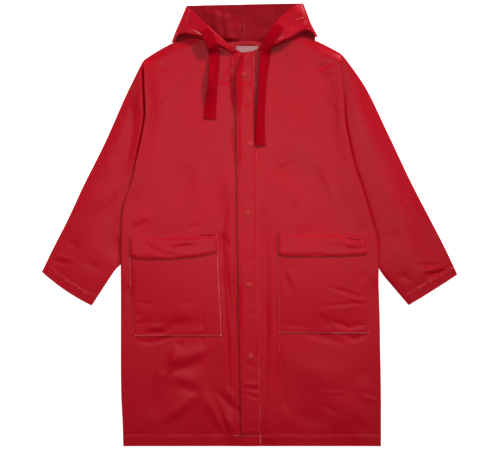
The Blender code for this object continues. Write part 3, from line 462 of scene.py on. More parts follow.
# Hood's back layer: share from the side fold to the centre seam, x, y at the neck and at the top
HOOD_BACK = {
    "right": [(0.0, -133.5, 318.4, -109.0, 383.6), (0.4, -87.4, 332.0, -72.0, 384.4),
              (0.62, -60.5, 319.2, -45.0, 385.0), (1.0, -9.6, 319.2, -9.6, 385.8)],
    "left": [(0.0, 116.0, 323.4, 91.5, 387.6), (0.4, 75.6, 334.6, 60.0, 387.2),
             (0.62, 48.5, 319.2, 36.0, 386.8), (1.0, -9.6, 319.2, -9.6, 385.8)],
}
HOOD_SEAM_X = -9.6  # centre seam
NECK_GAP = 0.2  # clear space between the hood's back layer and the shoulder's fold
HOOD_SEAM_MID = (5.9, 5.2)  # height of the hood's lower edge on the fronts, then beside them
HOOD_LOFT = 13.8  # how far the hood's side stands over the cloth below its lower fold
HOOD_ROLL = 1.7  # radius of that fold
HOOD_TUCK = 7.0  # how far the cloth runs back below it
LEAST_LOFT = 0.8  # least height of the side over that fold
FOLD_LOFT = 0.50  # share of the loft near the side fold
HOOD_FALL = 0.22  # share of the loft that is lost on the way to the opening
HOOD_BULGE = 0.08  # share of its depth in which the side rises from its fold
CASING = 21.5  # width of the casing along the hood's opening
HOOD_ACROSS = np.concatenate([np.linspace(0, 0.86, 42)[:-1], np.linspace(0.86, 1.0, 12)])
HOOD_UNDER = np.linspace(0, 1, 46)[1:]
HOOD_DEPTH = np.concatenate([np.linspace(0, 0.16, 10)[:-1], np.linspace(0.16, 1, 26)])
HOOD_TURN_ENDS = 41  # first column of the hood's side that has no lower fold
HOOD_ROLL_ENDS = (0.12, 0.8, 0.7)  # shares where the fold's radius has grown and shrinks, and how much
LEAST_ROLL = 0.15
HOOD_LEAVES_BODY = (0.45, 0.7)  # shares between which the lower edge comes down beside the fronts
HOOD_SWELL = 0.8  # power of the loft's rise from the front end
FOLD_LOFT_FROM = (0.45, 0.45)  # share where the loft starts to shrink, and over which share
HOOD_TURNS = 0.86  # share where the side starts down to its fold in height
HOOD_FOLDS_FROM = 0.93  # and in plan
TUCK_RUN = 40  # a side shorter than this runs back less far below itself
NECK_ENDS = 0.4  # share of the back layer that lies along the neck
RIM_RUN = 140  # length of the opening's rim
RIM_STITCHED = (0.5, 0.97, 40)  # share where the rim's stitches start, where they end, points
RIM_INSET = 2.2  # from the rim to its stitches
HOOD_SWELLS = [(11.0, 0.5, 6.0), (0.0, -0.5, 1.5)]  # distance from the rim, height, width
# Where the side's creases and hems fade: by the side fold, by the lower fold, by the front end
HOOD_RELIEF_FADES = ((0.84, 0.97), (0.0, 0.16), (0.0, 0.1))
LINING_FREE = ((0.0, 0.2), (0.93, 1.0), (0.0, 0.12))  # the same inside: side fold, seam, neck
HOOD_HEM_SOFT = 0.7  # half the width of the step at its hem
CENTRE_ALLOWANCE = (0.7, 6.5, 7.5)  # height of the centre seam's allowance, and where it falls away
# Stitch line of the hood's hem on the inside: x, y
HOOD_HEM = [(-90, 365.0), (-60, 368.4), (-14, 371.7), (10, 371.0), (60, 371.0)]

# Pockets: share of a front's width where the bag starts and ends, its slant and its rise
POCKET = {
    "right": {"columns": (0.068, 0.821), "rise": 0.0, "lean": 4.8},
    "left": {"columns": (0.083, 0.83), "rise": 4.6, "lean": -0.5},
}
BAG_ROWS = (-193.4, -26.2)
FLAP_ROWS = (-59.5, -15.8)
BAG_BELLY = 2.2  # how far the bag stands off the front in its middle
FLAP_BELLY = 0.7
FLAP_HEAD = 0.55  # share of its height over the bag that it keeps where it is sewn on
FLAP_CLEAR = 0.25  # further clear space between the flap and the bag
BELLY_UP = (0.06, 0.74)  # part of a half wave that the bag shows, from its foot
BELLY_POWERS = (0.7, 0.8)  # fullness of the bag across and up
BELLY_FOOT = 0.25  # share of its height in which it rises
WAVES_FROM = 2  # distance from the seam where its small waves are whole
FLAP_HEAD_RUN = (2, 3)  # it comes down from the bag's head less this, to its own less this
FLAP_WAVY = 0.8  # waves of its lower edge
FLAP_WAVY_PACE = 2.1
FLAP_PUCKER = {"head": 0.8, "side": 0.6}
FLAP_FOOT_LIFT = (0.45, -40, -50)  # height, y between which it grows
FLAP_ROLL = (1.0, 2.2)  # how far the rim rolls down, and how wide
# How much of a pocket's lean and rise the front takes up: y, share
LEAN_ALONG = [(-387, 0), (-330, 0), (-200, 1), (-40, 0), (300, 0)]
RISE_ALONG = [(-387, 0), (-320, 0), (-215, 1), (10, 1), (120, 0), (300, 0)]
# Lower edge of a flap: share of its width from the side, how far the edge stands up
FLAP_CORNERS = {
    "right": [(0.0, 7.7), (0.03, 3.5), (0.08, 1.2), (0.31, 0.0), (0.56, 1.4), (0.74, 4.2), (0.89, 8.4),
              (1.0, 13.0)],
    "left": [(0.0, 9.5), (0.03, 4.6), (0.08, 2.6), (0.16, 1.8), (0.5, 0.3), (0.8, 0.0), (0.93, 0.8),
             (0.97, 2.5), (1.0, 7.5)],
}

# Press-studs: x, y on the strip, station and share across on the cuffs
STRIP_SNAPS = [(-10.0, 262.8), (0.0, 141.4), (-4.4, 19.2), (-2.1, -105.0), (0.5, -229.2)]
CUFF_SNAPS = {"right": [(7.61, 0.57), (7.62, 0.34)], "left": [(7.57, 0.54), (7.58, 0.33)]}
STRIP_SNAP_RADIUS = 5.2
CUFF_SNAP_RADIUS = 3.8

# Rings of a cap from its rim inward: inset, then rise
SNAP_RINGS = [(0.35, 0.24), (0.35, 0.08), (0.35, -0.16), (0.45, 0.24), (0.9, 0.26), (1.0, 0.14), (0.9, 0.05)]
SNAP_RIM = 0.55  # height of the cap's rim
SNAP_CROWN = 0.02  # rise of its middle over the last ring
SNAP_SIDES = 36
SNAP_SMOOTH = math.radians(60)
SNAP_TILT = 0.5  # share of the cloth's slope that it takes
SNAP_CLEAR = 0.05  # how far its rim stands over the cloth
FACES_UP = 0.9  # faces with a steeper normal look up

# Drawstrings: x, y, z of the middle of the tape, and its turn about its own length in degrees
DRAWSTRING = {
    "right": [
        (-79.6, 339.5, 20.2, 0), (-73.5, 329.0, 21.0, 0), (-67.6, 317.5, 19.8, 2),
        (-65.2, 310.8, 18.2, 4), (-63.0, 303.5, 11.6, 6), (-62.1, 295.5, 7.6, 10),
        (-62.3, 284.0, 7.6, 14),
        (-63.5, 268.0, 10.1, 28), (-64.2, 252.0, 11.4, 36), (-65.2, 238.0, 10.8, 32),
        (-67.4, 222.2, 7.8, 16), (-69.2, 204.8, 5.9, 4), (-70.5, 184.3, 5.3, 0)],
    "left": [
        (54.2, 345.6, 19.2, 0), (43.8, 334.2, 19.8, 0), (34.5, 321.5, 18.4, 0),
        (28.8, 309.0, 14.4, 4), (26.2, 297.0, 10.0, 12), (25.2, 284.0, 8.6, 20),
        (23.6, 267.8, 9.6, 30), (22.0, 245.0, 9.9, 33), (20.2, 218.8, 9.9, 33),
        (19.0, 192.5, 9.6, 31), (18.4, 166.2, 8.6, 22), (18.0, 138.6, 6.7, 6)],
}
# Width of the tape along it, from the slit: share of its length, share of its width
TAPE_SPREAD = {
    "right": [(0.0, 0.5), (0.02, 0.8), (0.05, 0.98), (0.6, 1.0), (0.8, 1.04), (1.0, 1.2)],
    "left": [(0.0, 0.5), (0.02, 0.8), (0.05, 0.98), (0.25, 1.0), (0.45, 0.86), (0.8, 0.84), (1.0, 1.0)],
}

TAPE_ROWS = 90
TAPE_COLUMNS = 13
TAPE_BOWL = (0.35, 0.6, 1.4)  # height of its bow across, how even it is, pace of its changes
TAPE_EDGE = (0.25, 0.55, 5)  # waves of its edges: height, pace, shift from edge to edge
TAPE_END = (0.35, 17.5, 16.0)  # its doubled end: height, distances from the end where it starts

# wave: height, pace across, its start, pace up. grid: columns and rows
LABEL = {"x": (-24.0, 14.5), "y": (290.0, 312.9), "wall": 0.8, "grid": (22, 16),
         "wave": (0.35, 0.11, 0.4, 0.12), "inset": 1.4,
         "stitches": {"pitch": 2.2, "length": 1.7, "width": 0.4}}
# bend: rise of the middle in plan. ribs: height and pace
LOOP = {"x": (-21.0, 14.0), "y": (315.8, 320.0), "bow": 1.2, "grid": (26, 6), "bend": 0.8,
        "ribs": (0.1, 1.6), "pale": 0.45}

# Places along the back panel's edge: y up its side, then stations of the sleeve beside it
BACK_SIDE = (HEM_Y, -341, -290, -228, -149, -96)
BACK_STATIONS = (6.0, 5.4, 4.8, 4.2, 3.6, 3.0, 2.0, 1.0, 0.5, 0.25, 0.0)

# Hems and seams ------------
HEM_DEPTH = 19.5  # from the hem's edge to its stitches
CUFF_DEPTH = 18.5
BAND_LIFT = 0.5  # how far the doubled cloth of a hem stands up
BAND_SOFT = 0.8  # half the width of its step
HEM_LINE = HEM_Y + HEM_DEPTH
HEM_FADES = (12, 30)  # distances above the hem's line between which its marks fade
HEM_STARTS = 2.0  # distance from the side to the first stitch
HOOD_HEM_LIFT = 1.4 * BAND_LIFT
STRIP_FOOT_LIFT = 0.6 * BAND_LIFT
STRIP_FOOT_BAND = (7, 9)  # where the strip's doubled foot ends, from its edge
# Dents of the stitches: distance from the edge or the hem's line, depth, width
SEWN = {"hem": (1.2, 0.3, 0.9), "strip": (2.2, 0.22, 1.0), "bag": (2.6, 0.25, 1.1),
        "flap": (3.4, 0.22, 1.0), "cuff": (1.3, 0.3, 1.0), "hood": (1.3, 0.35, 1.1)}
BAG_STITCHED = [("side", -14), ("strip", -14), ("foot", -1)]  # edge, last point of the grid
FLAP_STITCHED = [("side", 3.4), ("strip", 3.4), ("foot", 3.4), ("head", 2.4)]  # edge, distance from it
STRIP_INSET = 3.0  # from the strip's free edge and foot to their stitches
SIDE_SEAM = 4.4  # from the side's edge to its seam
ALLOWANCE = (0.35, 5.0, 6.6)  # of the raglan seam: height, where it starts to fall and where it ends
RAGLAN_PUCKER = 0.6  # share of the puckers' height that it takes
RAGLAN_FADES = (-8, 4)  # distances above the raglan foot between which both begin
WAVER = ((0.071, 1.7, 0.45), (0.173, 2.9, 0.33), (0.419, 0.6, 0.22))  # pace, shift, share of a wave
PUCKER = (0.28, 0.45)  # height of the small waves along a stitched line, and its uneven part
PUCKER_DRIFT = 1.6  # how unevenly they are spaced
PUCKER_PACE = 1.3  # how fast their height changes
PUCKER_LENGTH = 7.5  # from wave to wave
PUCKER_REACH = 7.0  # how far they reach from the line
NO_PALE = -2.0  # value of the pale attribute well away from any pale line

PALE_UNEVEN = 0.35  # uneven share of a pale line's width
PALE_PACE = 2.2
PALE_FADE = 2  # half the length in which a stretch begins or ends

# Where the cloth's pale backing shows: start, end and width of each stretch along a line
HEM_PALE = [(-212, -166, 0.5), (-75, -47, 0.5), (-32, 16, 0.5), (-30, -18, 1.2), (49, 88, 0.5),
            (120, 150, 0.2), (-130, -104, 0.2)]
HEM_EDGE_PALE = [(-200, -150, 0.4), (-110, -80, 0.3), (-60, 20, 0.5), (50, 110, 0.3), (150, 222, 0.4)]
SIDE_PALE = {"right": [(-366, -232, 0.35), (-226, -150, 0.15)],
             "left": [(-366, -300, 0.3), (-270, -170, 0.2)]}
STRIP_PALE = [(275, 297, 0.7), (232, 266, 0.7), (150, 226, 0.2), (16, 134, 0.5), (-100, 10, 0.2),
              (-240, -110, 0.2), (-276, -250, 0.6), (-345, -312, 0.6), (-310, -280, 0.2)]
BAG_PALE = {
    "right": {"side": [(-108, -52, 0.8), (-192, -108, 0.3)], "strip": [(-194, -50, 0.9)],
              "foot": [(-202, -182, 0.9), (-182, -48, 0.5)]},
    "left": {"side": [(-150, -52, 0.2), (-196, -150, 0.4)], "strip": [(-194, -50, 0.4)],
             "foot": [(50, 138, 0.5), (138, 210, 0.9)]},
}
FLAP_PALE = {"side": 0.5, "strip": 0.5, "foot": 0.0, "head": 0.1}
FLAP_PALE_UNEVEN = 0.5
FLAP_PALE_PACE = 1.6
CUFF_PALE = [(0, 1, 0.3)]
CUFF_PALE_UNEVEN = 0.6
HOOD_PALE = {"rim": [(0.02, 0.9, 0.5)], "seam": [(321, 372, 0.25)], "hem": [(-84, -12, 0.1), (8, 58, 0.2)]}

# Stitches ------------
STITCH = 2.5  # length of a stitch
STITCH_PITCH = 3.3  # from one stitch to the next
STITCH_WIDTH = 0.55
STRIP_THREAD = 0.6  # width of the strip's pale stitches
STITCH_HEIGHT = 0.8  # share of its width
STITCH_STANDS = 0.12  # share of its width that it stands over the cloth
STITCH_CHANCE = (12.9898, 4.1)  # paces of the uneven laying, by stitch and by line
STITCH_SHIFT = 0.14  # how far a stitch lies beside its line
STITCH_UNEVEN = 0.08  # uneven share of its length
RAY_FROM = 0.1  # height in metres from which places on a piece are sought
STITCH_SEGMENTS = 6
STITCH_RINGS = 4

# Colours, as a linear red, green and blue ------------
RED = (0.495, 0.0045, 0.0165)
RED_DEEP = (0.44, 0.0020, 0.0115)
# The hood's inside: the cloth's red painted darker, as shade under the hood's sides
LINING_SHADED_RED = (0.33, 0.0010, 0.0090)
LINING_SHADED_DEEP = (0.265, 0.0007, 0.0070)
BACKING = (0.58, 0.075, 0.085)
BACKING_WIDE = (0.68, 0.25, 0.25)
TAPE_RED = (0.41, 0.0006, 0.0092)
THREAD_RED = (0.54, 0.010, 0.022)
THREAD_PALE = (0.68, 0.13, 0.14)
SNAP_RED = (0.57, 0.016, 0.018)
# The label is white satin; this darker pinkish grey paints the hood's shade on it
LABEL_SHADED_PINK = (0.50, 0.25, 0.26)
FLOOR_WHITE = (0.90, 0.90, 0.90)

# Finishes of the pieces. A noise is scale, detail and roughness ------------
SLOTS = {"cloth": "coated_cloth", "thread": "coated_cloth", "pale_thread": "coated_cloth",
         "tape": "drawstring_tape", "label": "neck_label", "snap": "snap_cap"}
# Grain, dents, clouds and specks of the cloth
GRAIN_NOISES = ((1400.0, 2.0, 0.5), (95.0, 2.0, 0.45), (13.0, 3.0, 0.55), (260.0, 2.0, 0.5))
GRAIN_SHARE = 0.10  # of the grain in its relief
SPECK_SHARE = 0.18  # of the specks in its tone
GRAIN_DEPTH = 0.0006
TONE_RANGE = (0.35, 0.85)  # tones of the deep and of the light red
SHEEN_RANGE = (0.3, 0.9)  # tones of the smoothest and the dullest cloth
SHEEN_UNEVEN = 0.05
RAGGED_NOISE = (330.0, 3.0, 0.6)  # of a pale line's edge
RAGGED = 2.2
RAGGED_MIDDLE = 1.15
RAGGED_EDGE = (-0.10, 0.25)
BACKING_RANGE = (0.5, 1.0) # widths of a line in the narrow and in the wide pale colour
BACKING_DULL = 0.3
YARN_NOISE = (1500.0, 2.0, 0.5)
YARN_SHARE = 0.8
CLOUD_DETAIL = (3.0, 0.6)
SPECULAR = {"cloth": 0.09, "plain": 0.2, "tape": 0.03}
PLAIN_DARKER = 0.72  # thread and caps in their dark specks
PLAIN_UNEVEN = (-0.06, 0.08)
PLAIN_BUMP = 0.6
FUZZ_SCALE = 160.0
RIBS_LIT = 0.10  # how much the tape's ribs change its tone
TAPE_DARKER = 0.84
RIB_BUMP = 0.5
RIB_DEPTH = 0.0001

# Stage: metres, watts. A light is its place, where it points and its power -----------
FLOOR_SIZE = 12.0
FLOOR_Z = -0.0006
FLOOR_ROUGH = 0.9
FLOOR_GLOW = 0.80
WORLD_GLOW = 0.06
WHITE = (1.0, 1.0, 1.0, 1.0)
KEY_SPOT = ((1.25, 2.05, 1.35), (0.0, 0.08, 0.0), 470.0)
KEY_SHAPE = {"shadow_soft_size": 0.30, "spot_size": math.radians(31), "spot_blend": 1.0}
KEY_NARROWED = (1.0, 0.34, 1.0)
SIDE_BOX = ((-1.6, 1.0, 1.1), (0.0, 0.10, 0.0), 11.0)
SIDE_SHAPE = {"shape": "RECTANGLE", "size": 0.6, "size_y": 0.6}
TOP_PANEL = ((0.07, 0.27, 2.75), (0.04, 0.10, 0.0), 24.0)
TOP_SHAPE = {"shape": "RECTANGLE", "size": 1.7, "size_y": 0.65}
CAMERA_HEIGHT = 2.5
VIEW_WIDTH = 0.875  # width of the table that the camera sees
SENSOR = 36.0


# Reading tables ------------
def smooth(rows, at):
    """Values of a table's other columns at places in its first, on a curve with no overshoot."""
    table = np.array(rows, dtype=float)
    place, value = table[:, 0], table[:, 1:]
    at = np.asarray(at, dtype=float)
    step = np.diff(place)[:, None]
    rise = np.diff(value, axis=0) / step
    slope = np.vstack([rise[:1], np.zeros((len(place) - 2, value.shape[1])), rise[-1:]])
    before, after = rise[:-1], rise[1:]
    same_way = before * after > 0
    total = np.where(same_way, before + after, 1.0)
    slope[1:-1] = np.where(same_way, 2 * before * after / total, 0.0)
    k = np.clip(np.searchsorted(place, at, side="right") - 1, 0, len(place) - 2)
    t = np.clip((at - place[k]) / step[k, 0], 0, 1)[..., None]
    return (value[k] * (1 + 2 * t) * (1 - t) ** 2 + value[k + 1] * t * t * (3 - 2 * t)
            + step[k] * (slope[k] * t * (1 - t) ** 2 - slope[k + 1] * t * t * (1 - t)))


def ramp(value, start, end):
    """0 before start and 1 after end, with a soft rise between them."""
    t = np.clip((np.asarray(value, dtype=float) - start) / (end - start), 0, 1)
    return t * t * (3 - 2 * t)


def bell(gap, width):
    """1 on a line, falling softly to nearly 0 at twice the width from it."""
    return np.exp(-(gap / width) ** 2)


def mix(a, b, share):
    return a + (b - a) * share


def unit(vectors):
    return vectors / np.linalg.norm(vectors, axis=-1, keepdims=True)


def most(*values):
    """The largest of several values at each place."""
    return functools.reduce(np.maximum, values)


def least(*values):
    return functools.reduce(np.minimum, values)


def places(start, end, step, fine=()):
    """Places from start to end about a step apart, and closer in each (middle, reach, step) of fine."""
    count = max(int(round(abs(end - start) / step)), 1)
    spots = np.linspace(start, end, count + 1)
    for middle, reach, close in fine:
        spots = spots[np.abs(spots - middle) > reach + close * FINE_CLEAR]
        extra = middle + close * np.arange(-int(reach / close), int(reach / close) + 1)
        spots = np.concatenate([spots, extra[(extra >= min(start, end)) & (extra <= max(start, end))]])
    spots = np.unique(np.round(np.concatenate([spots, [start, end]]), 4))
    return spots if end > start else spots[::-1]


def waver(place, seed):
    """A smooth uneven line between -1 and 1, the same for the same seed."""
    return sum(np.sin(place * pace + seed * shift) * share for pace, shift, share in WAVER)


def measured(path):
    """A path as an array, with the length of each run and the way there before each point."""
    path = np.array(path, dtype=float)
    runs = np.linalg.norm(np.diff(path, axis=0), axis=1)
    return path, runs, np.concatenate([[0.0], np.cumsum(runs)])


def to_line(x, y, path):
    """Distance of places from a line through points, and their share along it."""
    path, runs, before = measured(path)
    nearest = np.full(np.shape(x), np.inf)
    along = np.zeros(np.shape(x))
    for k, run in enumerate(runs):
        way = (path[k + 1] - path[k]) / run
        t = np.clip((x - path[k, 0]) * way[0] + (y - path[k, 1]) * way[1], 0, run)
        gap = np.hypot(x - path[k, 0] - way[0] * t, y - path[k, 1] - way[1] * t)
        along = np.where(gap < nearest, (before[k] + t) / before[-1], along)
        nearest = np.minimum(gap, nearest)
    return nearest, along


def creased(table, x, y):
    """Height that the creases of a table add at places."""
    total = np.zeros(np.broadcast(x, y).shape)
    ends, swelled = CREASE_WIDTH
    for height, width, *path in table:
        gap, along = to_line(x, y, path)
        swell = np.sin(np.pi * np.clip(along, *CREASE_STOPS)) ** CREASE_SWELL
        total += height * swell * bell(gap, width / 2 * (ends + swelled * swell))
    return total


def leaned(table, x, y):
    """Height that folds with a steep and a gentle side add at places."""
    total = np.zeros(np.broadcast(x, y).shape)
    below, beyond = LINING_FADES
    for height, right, left, *path in table:
        line = np.array(path[::-1], dtype=float)
        aside = x - np.interp(y, line[:, 1], line[:, 0])
        starts = ramp(y, line[0, 1] - below, line[0, 1] + beyond)
        ends = ramp(y, line[-1, 1] - beyond, line[-1, 1] + beyond)
        total += height * bell(aside, np.where(aside < 0, left, right)) * starts * (1 - ends)
    return total


def marked(piece, x, y):
    """Width less distance of the pale marks on a piece."""
    marks = [width / 2 - to_line(x, y, path)[0] for width, *path in PALE_MARKS[piece]]
    return most(NO_PALE, *marks)


def pale_width(stretches, along, seed):
    """Uneven width of a pale line along it, and NO_PALE where there is none."""
    width = np.full(np.shape(along), NO_PALE)
    uneven = 1 + PALE_UNEVEN * waver(along * PALE_PACE, seed)
    for start, end, wide in stretches:
        begins = ramp(along, start - PALE_FADE, start + PALE_FADE)
        inside = begins * (1 - ramp(along, end - PALE_FADE, end + PALE_FADE))
        width = np.maximum(width, mix(NO_PALE, wide * uneven, inside))
    return width


def puckered(gap, along, seed):
    """Small uneven waves beside a stitched line."""
    wave = np.sin(2 * np.pi * along / PUCKER_LENGTH + PUCKER_DRIFT * waver(along, seed))
    height, uneven = PUCKER
    height = height * (1 - uneven + uneven * waver(along * PUCKER_PACE, seed + 3))
    return height * wave * bell(gap, PUCKER_REACH)


def groove(seam, gap):
    """The dent that a row of stitches presses in, at distances from the edge or the hem's line."""
    inset, depth, width = SEWN[seam]
    return -depth * bell(gap - inset, width)


def band(gap, depth, soft=BAND_SOFT):
    """The doubled cloth of a hem, at distances from its edge."""
    return BAND_LIFT * (1 - ramp(gap, depth - soft, depth + soft))


# Heights of the fronts ------------
def fold_height(x, y):
    """Sum of the largest folds at places on the fronts."""
    total = np.zeros(np.broadcast(x, y).shape)
    for x0, y0, x1, y1, width, height in FOLDS:
        run = math.hypot(x1 - x0, y1 - y0)
        along = ((x - x0) * (x1 - x0) + (y - y0) * (y1 - y0)) / run
        aside = np.abs((x - x0) * (y1 - y0) - (y - y0) * (x1 - x0)) / run
        crest = np.cos(np.pi * np.minimum(aside / width, 0.5)) ** 2
        taper = ramp(along, -width / 2, width / 2) * ramp(run - along, -width / 2, width / 2)
        total += height * crest * taper
    return total


def edge_x(side, y):
    """x of the front's outer edge, up to the raglan foot and straight on along the shoulder."""
    foot_x, foot_y = RAGLAN_FOOT[side]
    corner_x, corner_y = SHOULDER_CORNER[side]
    shoulder = mix(foot_x, corner_x, np.clip((y - foot_y) / (corner_y - foot_y), 0, 1))
    return np.where(y <= foot_y, smooth(BODY_EDGE[side], y)[..., 0], shoulder)


def pleat(y):
    """0 along the plain side, 1 where the body lies on the sleeve."""
    return ramp(y, PLEAT_FROM_Y, PLEAT_FROM_Y + PLEAT_RISE)


def edge_mid(side, y):
    """Height of the middle of the upper layer where it starts to turn under."""
    lift = smooth(EDGE_LIFT[side], y)[..., 0]
    return mix(FLAP_MID["side"], FLAP_MID["sleeve"], pleat(y)) + 2 * FOLD_RADIUS + lift


def rest(x, y):
    """Height of the middle of the fronts and shoulders over the table."""
    inward = np.where(x < 0, x - edge_x("right", y), edge_x("left", y) - x)
    level = mix(HEM_MID, FRONT_MID, ramp(y, HEM_Y, HEM_Y + HEM_RISE))
    level = (level + FOLD_DEPTH * fold_height(x, y) * ramp(inward, *FOLDS_FROM)
             + CREASE_DEPTH * creased(FRONT_CREASES, x, y) * ramp(inward, *CREASES_FROM))
    over = level - LOWEST_FRONT
    level = LOWEST_FRONT + (over + np.sqrt(over ** 2 + SETTLE)) / 2
    edges = np.where(x < 0, edge_mid("right", y), edge_mid("left", y))
    return mix(level, edges, bell(np.maximum(inward, 0.0), EDGE_RISE))


# Making pieces ------------
def name_piece(piece, name, finish):
    """Names a new piece, gives it its finish and lets it ride on the jacket's one body."""
    piece.name = name
    piece.data.name = name
    piece.data.materials.clear()
    piece.data.materials.append(finishes[finish])
    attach(piece, "root")
    return piece


def shell(name, node, points, finish="cloth", wall=WALL, pale=None, keep=None, lining_shade=None):
    """A thin wall of cloth on a grid of points [row, column] = (x, y, z) at its middle.

    node is the solid that it stands for. pale gives each point's width of pale backing less
    its distance from the line. keep says which cells the cloth has, and the lining mask which are
    lining: these take a darker red, painted shade for the hood's inside.
    """
    rows, columns = points.shape[:2]
    bpy.ops.mesh.primitive_grid_add(x_subdivisions=columns - 1, y_subdivisions=rows - 1, size=1)
    piece = name_piece(bpy.context.object, name, finish)
    mesh = piece.data
    mesh.vertices.foreach_set("co", (points.reshape(-1) * MM).astype(np.float32))
    if pale is not None:
        layer = mesh.attributes.new("pale", "FLOAT", "POINT")
        layer.data.foreach_set("value", np.maximum(pale, NO_PALE).reshape(-1).astype(np.float32))
    # Lining cells take the darker red: painted shade on the hood's inside
    if lining_shade is not None:
        mesh.materials.append(finishes["lining"])
        mesh.polygons.foreach_set("material_index", lining_shade.reshape(-1).astype(np.int32))
    if keep is not None:
        cut = bmesh.new()
        cut.from_mesh(mesh)
        cut.faces.ensure_lookup_table()
        lost = [cut.faces[k] for k in np.flatnonzero(~keep.reshape(-1))]
        bmesh.ops.delete(cut, geom=lost, context="FACES")
        cut.to_mesh(mesh)
        cut.free()
    thickness = piece.modifiers.new("wall", "SOLIDIFY")
    thickness.thickness = wall * MM
    thickness.offset = 0.0
    bpy.ops.object.modifier_apply(modifier="wall")
    bpy.ops.object.shade_smooth_by_angle(angle=SMOOTH_ANGLE)
    piece.select_set(False)
    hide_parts(node)
    grids[name] = (points, keep)
    return piece


def cells(points, value):
    """The same value for every cell of a grid of points."""
    return np.full((points.shape[0] - 1, points.shape[1] - 1), value)


def declare(name):
    """Works out the area of a piece's kept cells, which nothing then uses."""
    points, keep = grids[name]
    diagonal = points[1:, 1:] - points[:-1, :-1]
    other = points[1:, :-1] - points[:-1, 1:]
    area = np.linalg.norm(np.cross(diagonal, other), axis=2) / 2
    if keep is not None:
        area = area * keep


def drop(name, x, y):
    """Where a ray straight down meets a piece, and the way its face points there."""
    if name not in drapes:
        mesh = bpy.data.objects[name].data
        mesh.calc_loop_triangles()
        corners = [vertex.co.copy() for vertex in mesh.vertices]
        faces = [triangle.vertices[:] for triangle in mesh.loop_triangles]
        drapes[name] = BVHTree.FromPolygons(corners, faces)
    return drapes[name].ray_cast(Vector((x * MM, y * MM, RAY_FROM)), Vector((0, 0, -1)))[:2]


def spaced(path, pitch):
    """Places a pitch apart on a line through points, with the way the line runs there."""
    path, _, before = measured(path)
    count = max(int(before[-1] / pitch), 1)
    at = (np.arange(count) + 0.5) * before[-1] / count
    spots, ahead, behind = [np.stack([np.interp(at + shift, before, path[:, k]) for k in range(2)], axis=1)
                            for shift in (0.0, 0.5, -0.5)]
    ways = ahead - behind
    return spots, ways / np.linalg.norm(ways, axis=1)[:, None]


def stitch_form():
    """Corners and faces of one stitch, a small rounded capsule along x."""
    bpy.ops.mesh.primitive_uv_sphere_add(segments=STITCH_SEGMENTS, ring_count=STITCH_RINGS, radius=0.5)
    form = bpy.context.object
    bpy.ops.transform.rotate(value=math.pi / 2, orient_axis="Y", center_override=(0, 0, 0))
    bpy.ops.object.transform_apply(location=True, rotation=True, scale=True)
    corners = np.array([vertex.co[:] for vertex in form.data.vertices])
    faces = [list(face.vertices) for face in form.data.polygons]
    bpy.data.objects.remove(form)
    return corners, faces


def sew(name, lines, host, thread="thread", slot=None, pitch=STITCH_PITCH, length=STITCH, width=STITCH_WIDTH):
    """Rows of stitches along lines of (x, y), each laid on the piece below it."""
    corners, faces = stitch_form()
    placed, sides = [], []
    for line in lines:
        for k, (spot, way) in enumerate(zip(*spaced(line, pitch))):
            uneven = math.sin(k * STITCH_CHANCE[0] + len(line) * STITCH_CHANCE[1] + spot[0])
            spot = spot + np.array([-way[1], way[0]]) * STITCH_SHIFT * uneven
            hit, normal = drop(host, *spot)
            if hit is None:
                continue
            up = np.array(normal)
            forward = np.array([way[0], way[1], 0.0])
            forward = unit(forward - up * forward.dot(up))
            long = length * (1 + STITCH_UNEVEN * uneven)
            form = (corners[:, :1] * long * forward + corners[:, 1:2] * width * np.cross(up, forward)
                    + corners[:, 2:] * width * STITCH_HEIGHT * up)
            first = len(placed) * len(corners)
            sides.extend([[first + corner for corner in face] for face in faces])
            placed.append(form * MM + np.array(hit) + up * width * STITCH_STANDS * MM)
    mesh = bpy.data.meshes.new(name)
    mesh.from_pydata(np.concatenate(placed).tolist(), [], sides)
    mesh.shade_smooth()
    piece = bpy.data.objects.new(name, mesh)
    bpy.context.scene.collection.objects.link(piece)
    return name_piece(piece, name, thread)


# Finishes ------------
def plug(tree, node, inputs):
    """Gives a node's inputs, each named or numbered, their values or sockets."""
    for key, value in inputs:
        if isinstance(value, bpy.types.NodeSocket):
            tree.links.new(value, node.inputs[key])
        else:
            node.inputs[key].default_value = value


def add_node(tree, kind, inputs=(), **settings):
    made = tree.nodes.new(kind)
    for name, value in settings.items():
        setattr(made, name, value)
    plug(tree, made, inputs)
    return made


def new_group(name, inputs, outputs):
    """An empty shader group and its two end nodes. An input without a value is a place."""
    group = bpy.data.node_groups.new(name, "ShaderNodeTree")
    for socket, value in inputs:
        kind = "NodeSocketVector" if value is None else "NodeSocketFloat"
        made = group.interface.new_socket(socket, in_out="INPUT", socket_type=kind)
        if value is not None:
            made.default_value = value
    for socket in outputs:
        group.interface.new_socket(socket, in_out="OUTPUT", socket_type="NodeSocketFloat")
    return group, group.nodes.new("NodeGroupInput"), group.nodes.new("NodeGroupOutput")


def use_group(tree, name, inputs):
    return add_node(tree, "ShaderNodeGroup", inputs, node_tree=groups[name])


def math_node(tree, operation, *values):
    return add_node(tree, "ShaderNodeMath", enumerate(values), operation=operation).outputs[0]


def noise(tree, place, scale, detail, rough):
    wanted = [("Vector", place), ("Scale", scale), ("Detail", detail), ("Roughness", rough)]
    return add_node(tree, "ShaderNodeTexNoise", wanted).outputs[0]


def ranged(tree, value, start, end, low=0.0, high=1.0, kind="LINEAR"):
    """A value between start and end, brought to low and high."""
    wanted = [("Value", value), ("From Min", start), ("From Max", end), ("To Min", low), ("To Max", high)]
    return add_node(tree, "ShaderNodeMapRange", wanted, interpolation_type=kind).outputs[0]


def blend(tree, factor, first, second):
    """A mix of two colours, each a value or a socket."""
    first, second = [(*value, 1.0) if isinstance(value, tuple) else value for value in (first, second)]
    wanted = [(0, factor), (6, first), (7, second)]
    return add_node(tree, "ShaderNodeMix", wanted, data_type="RGBA").outputs[2]


def emboss(tree, height, strength, distance):
    wanted = [("Height", height), ("Strength", strength), ("Distance", distance)]
    return add_node(tree, "ShaderNodeBump", wanted).outputs[0]


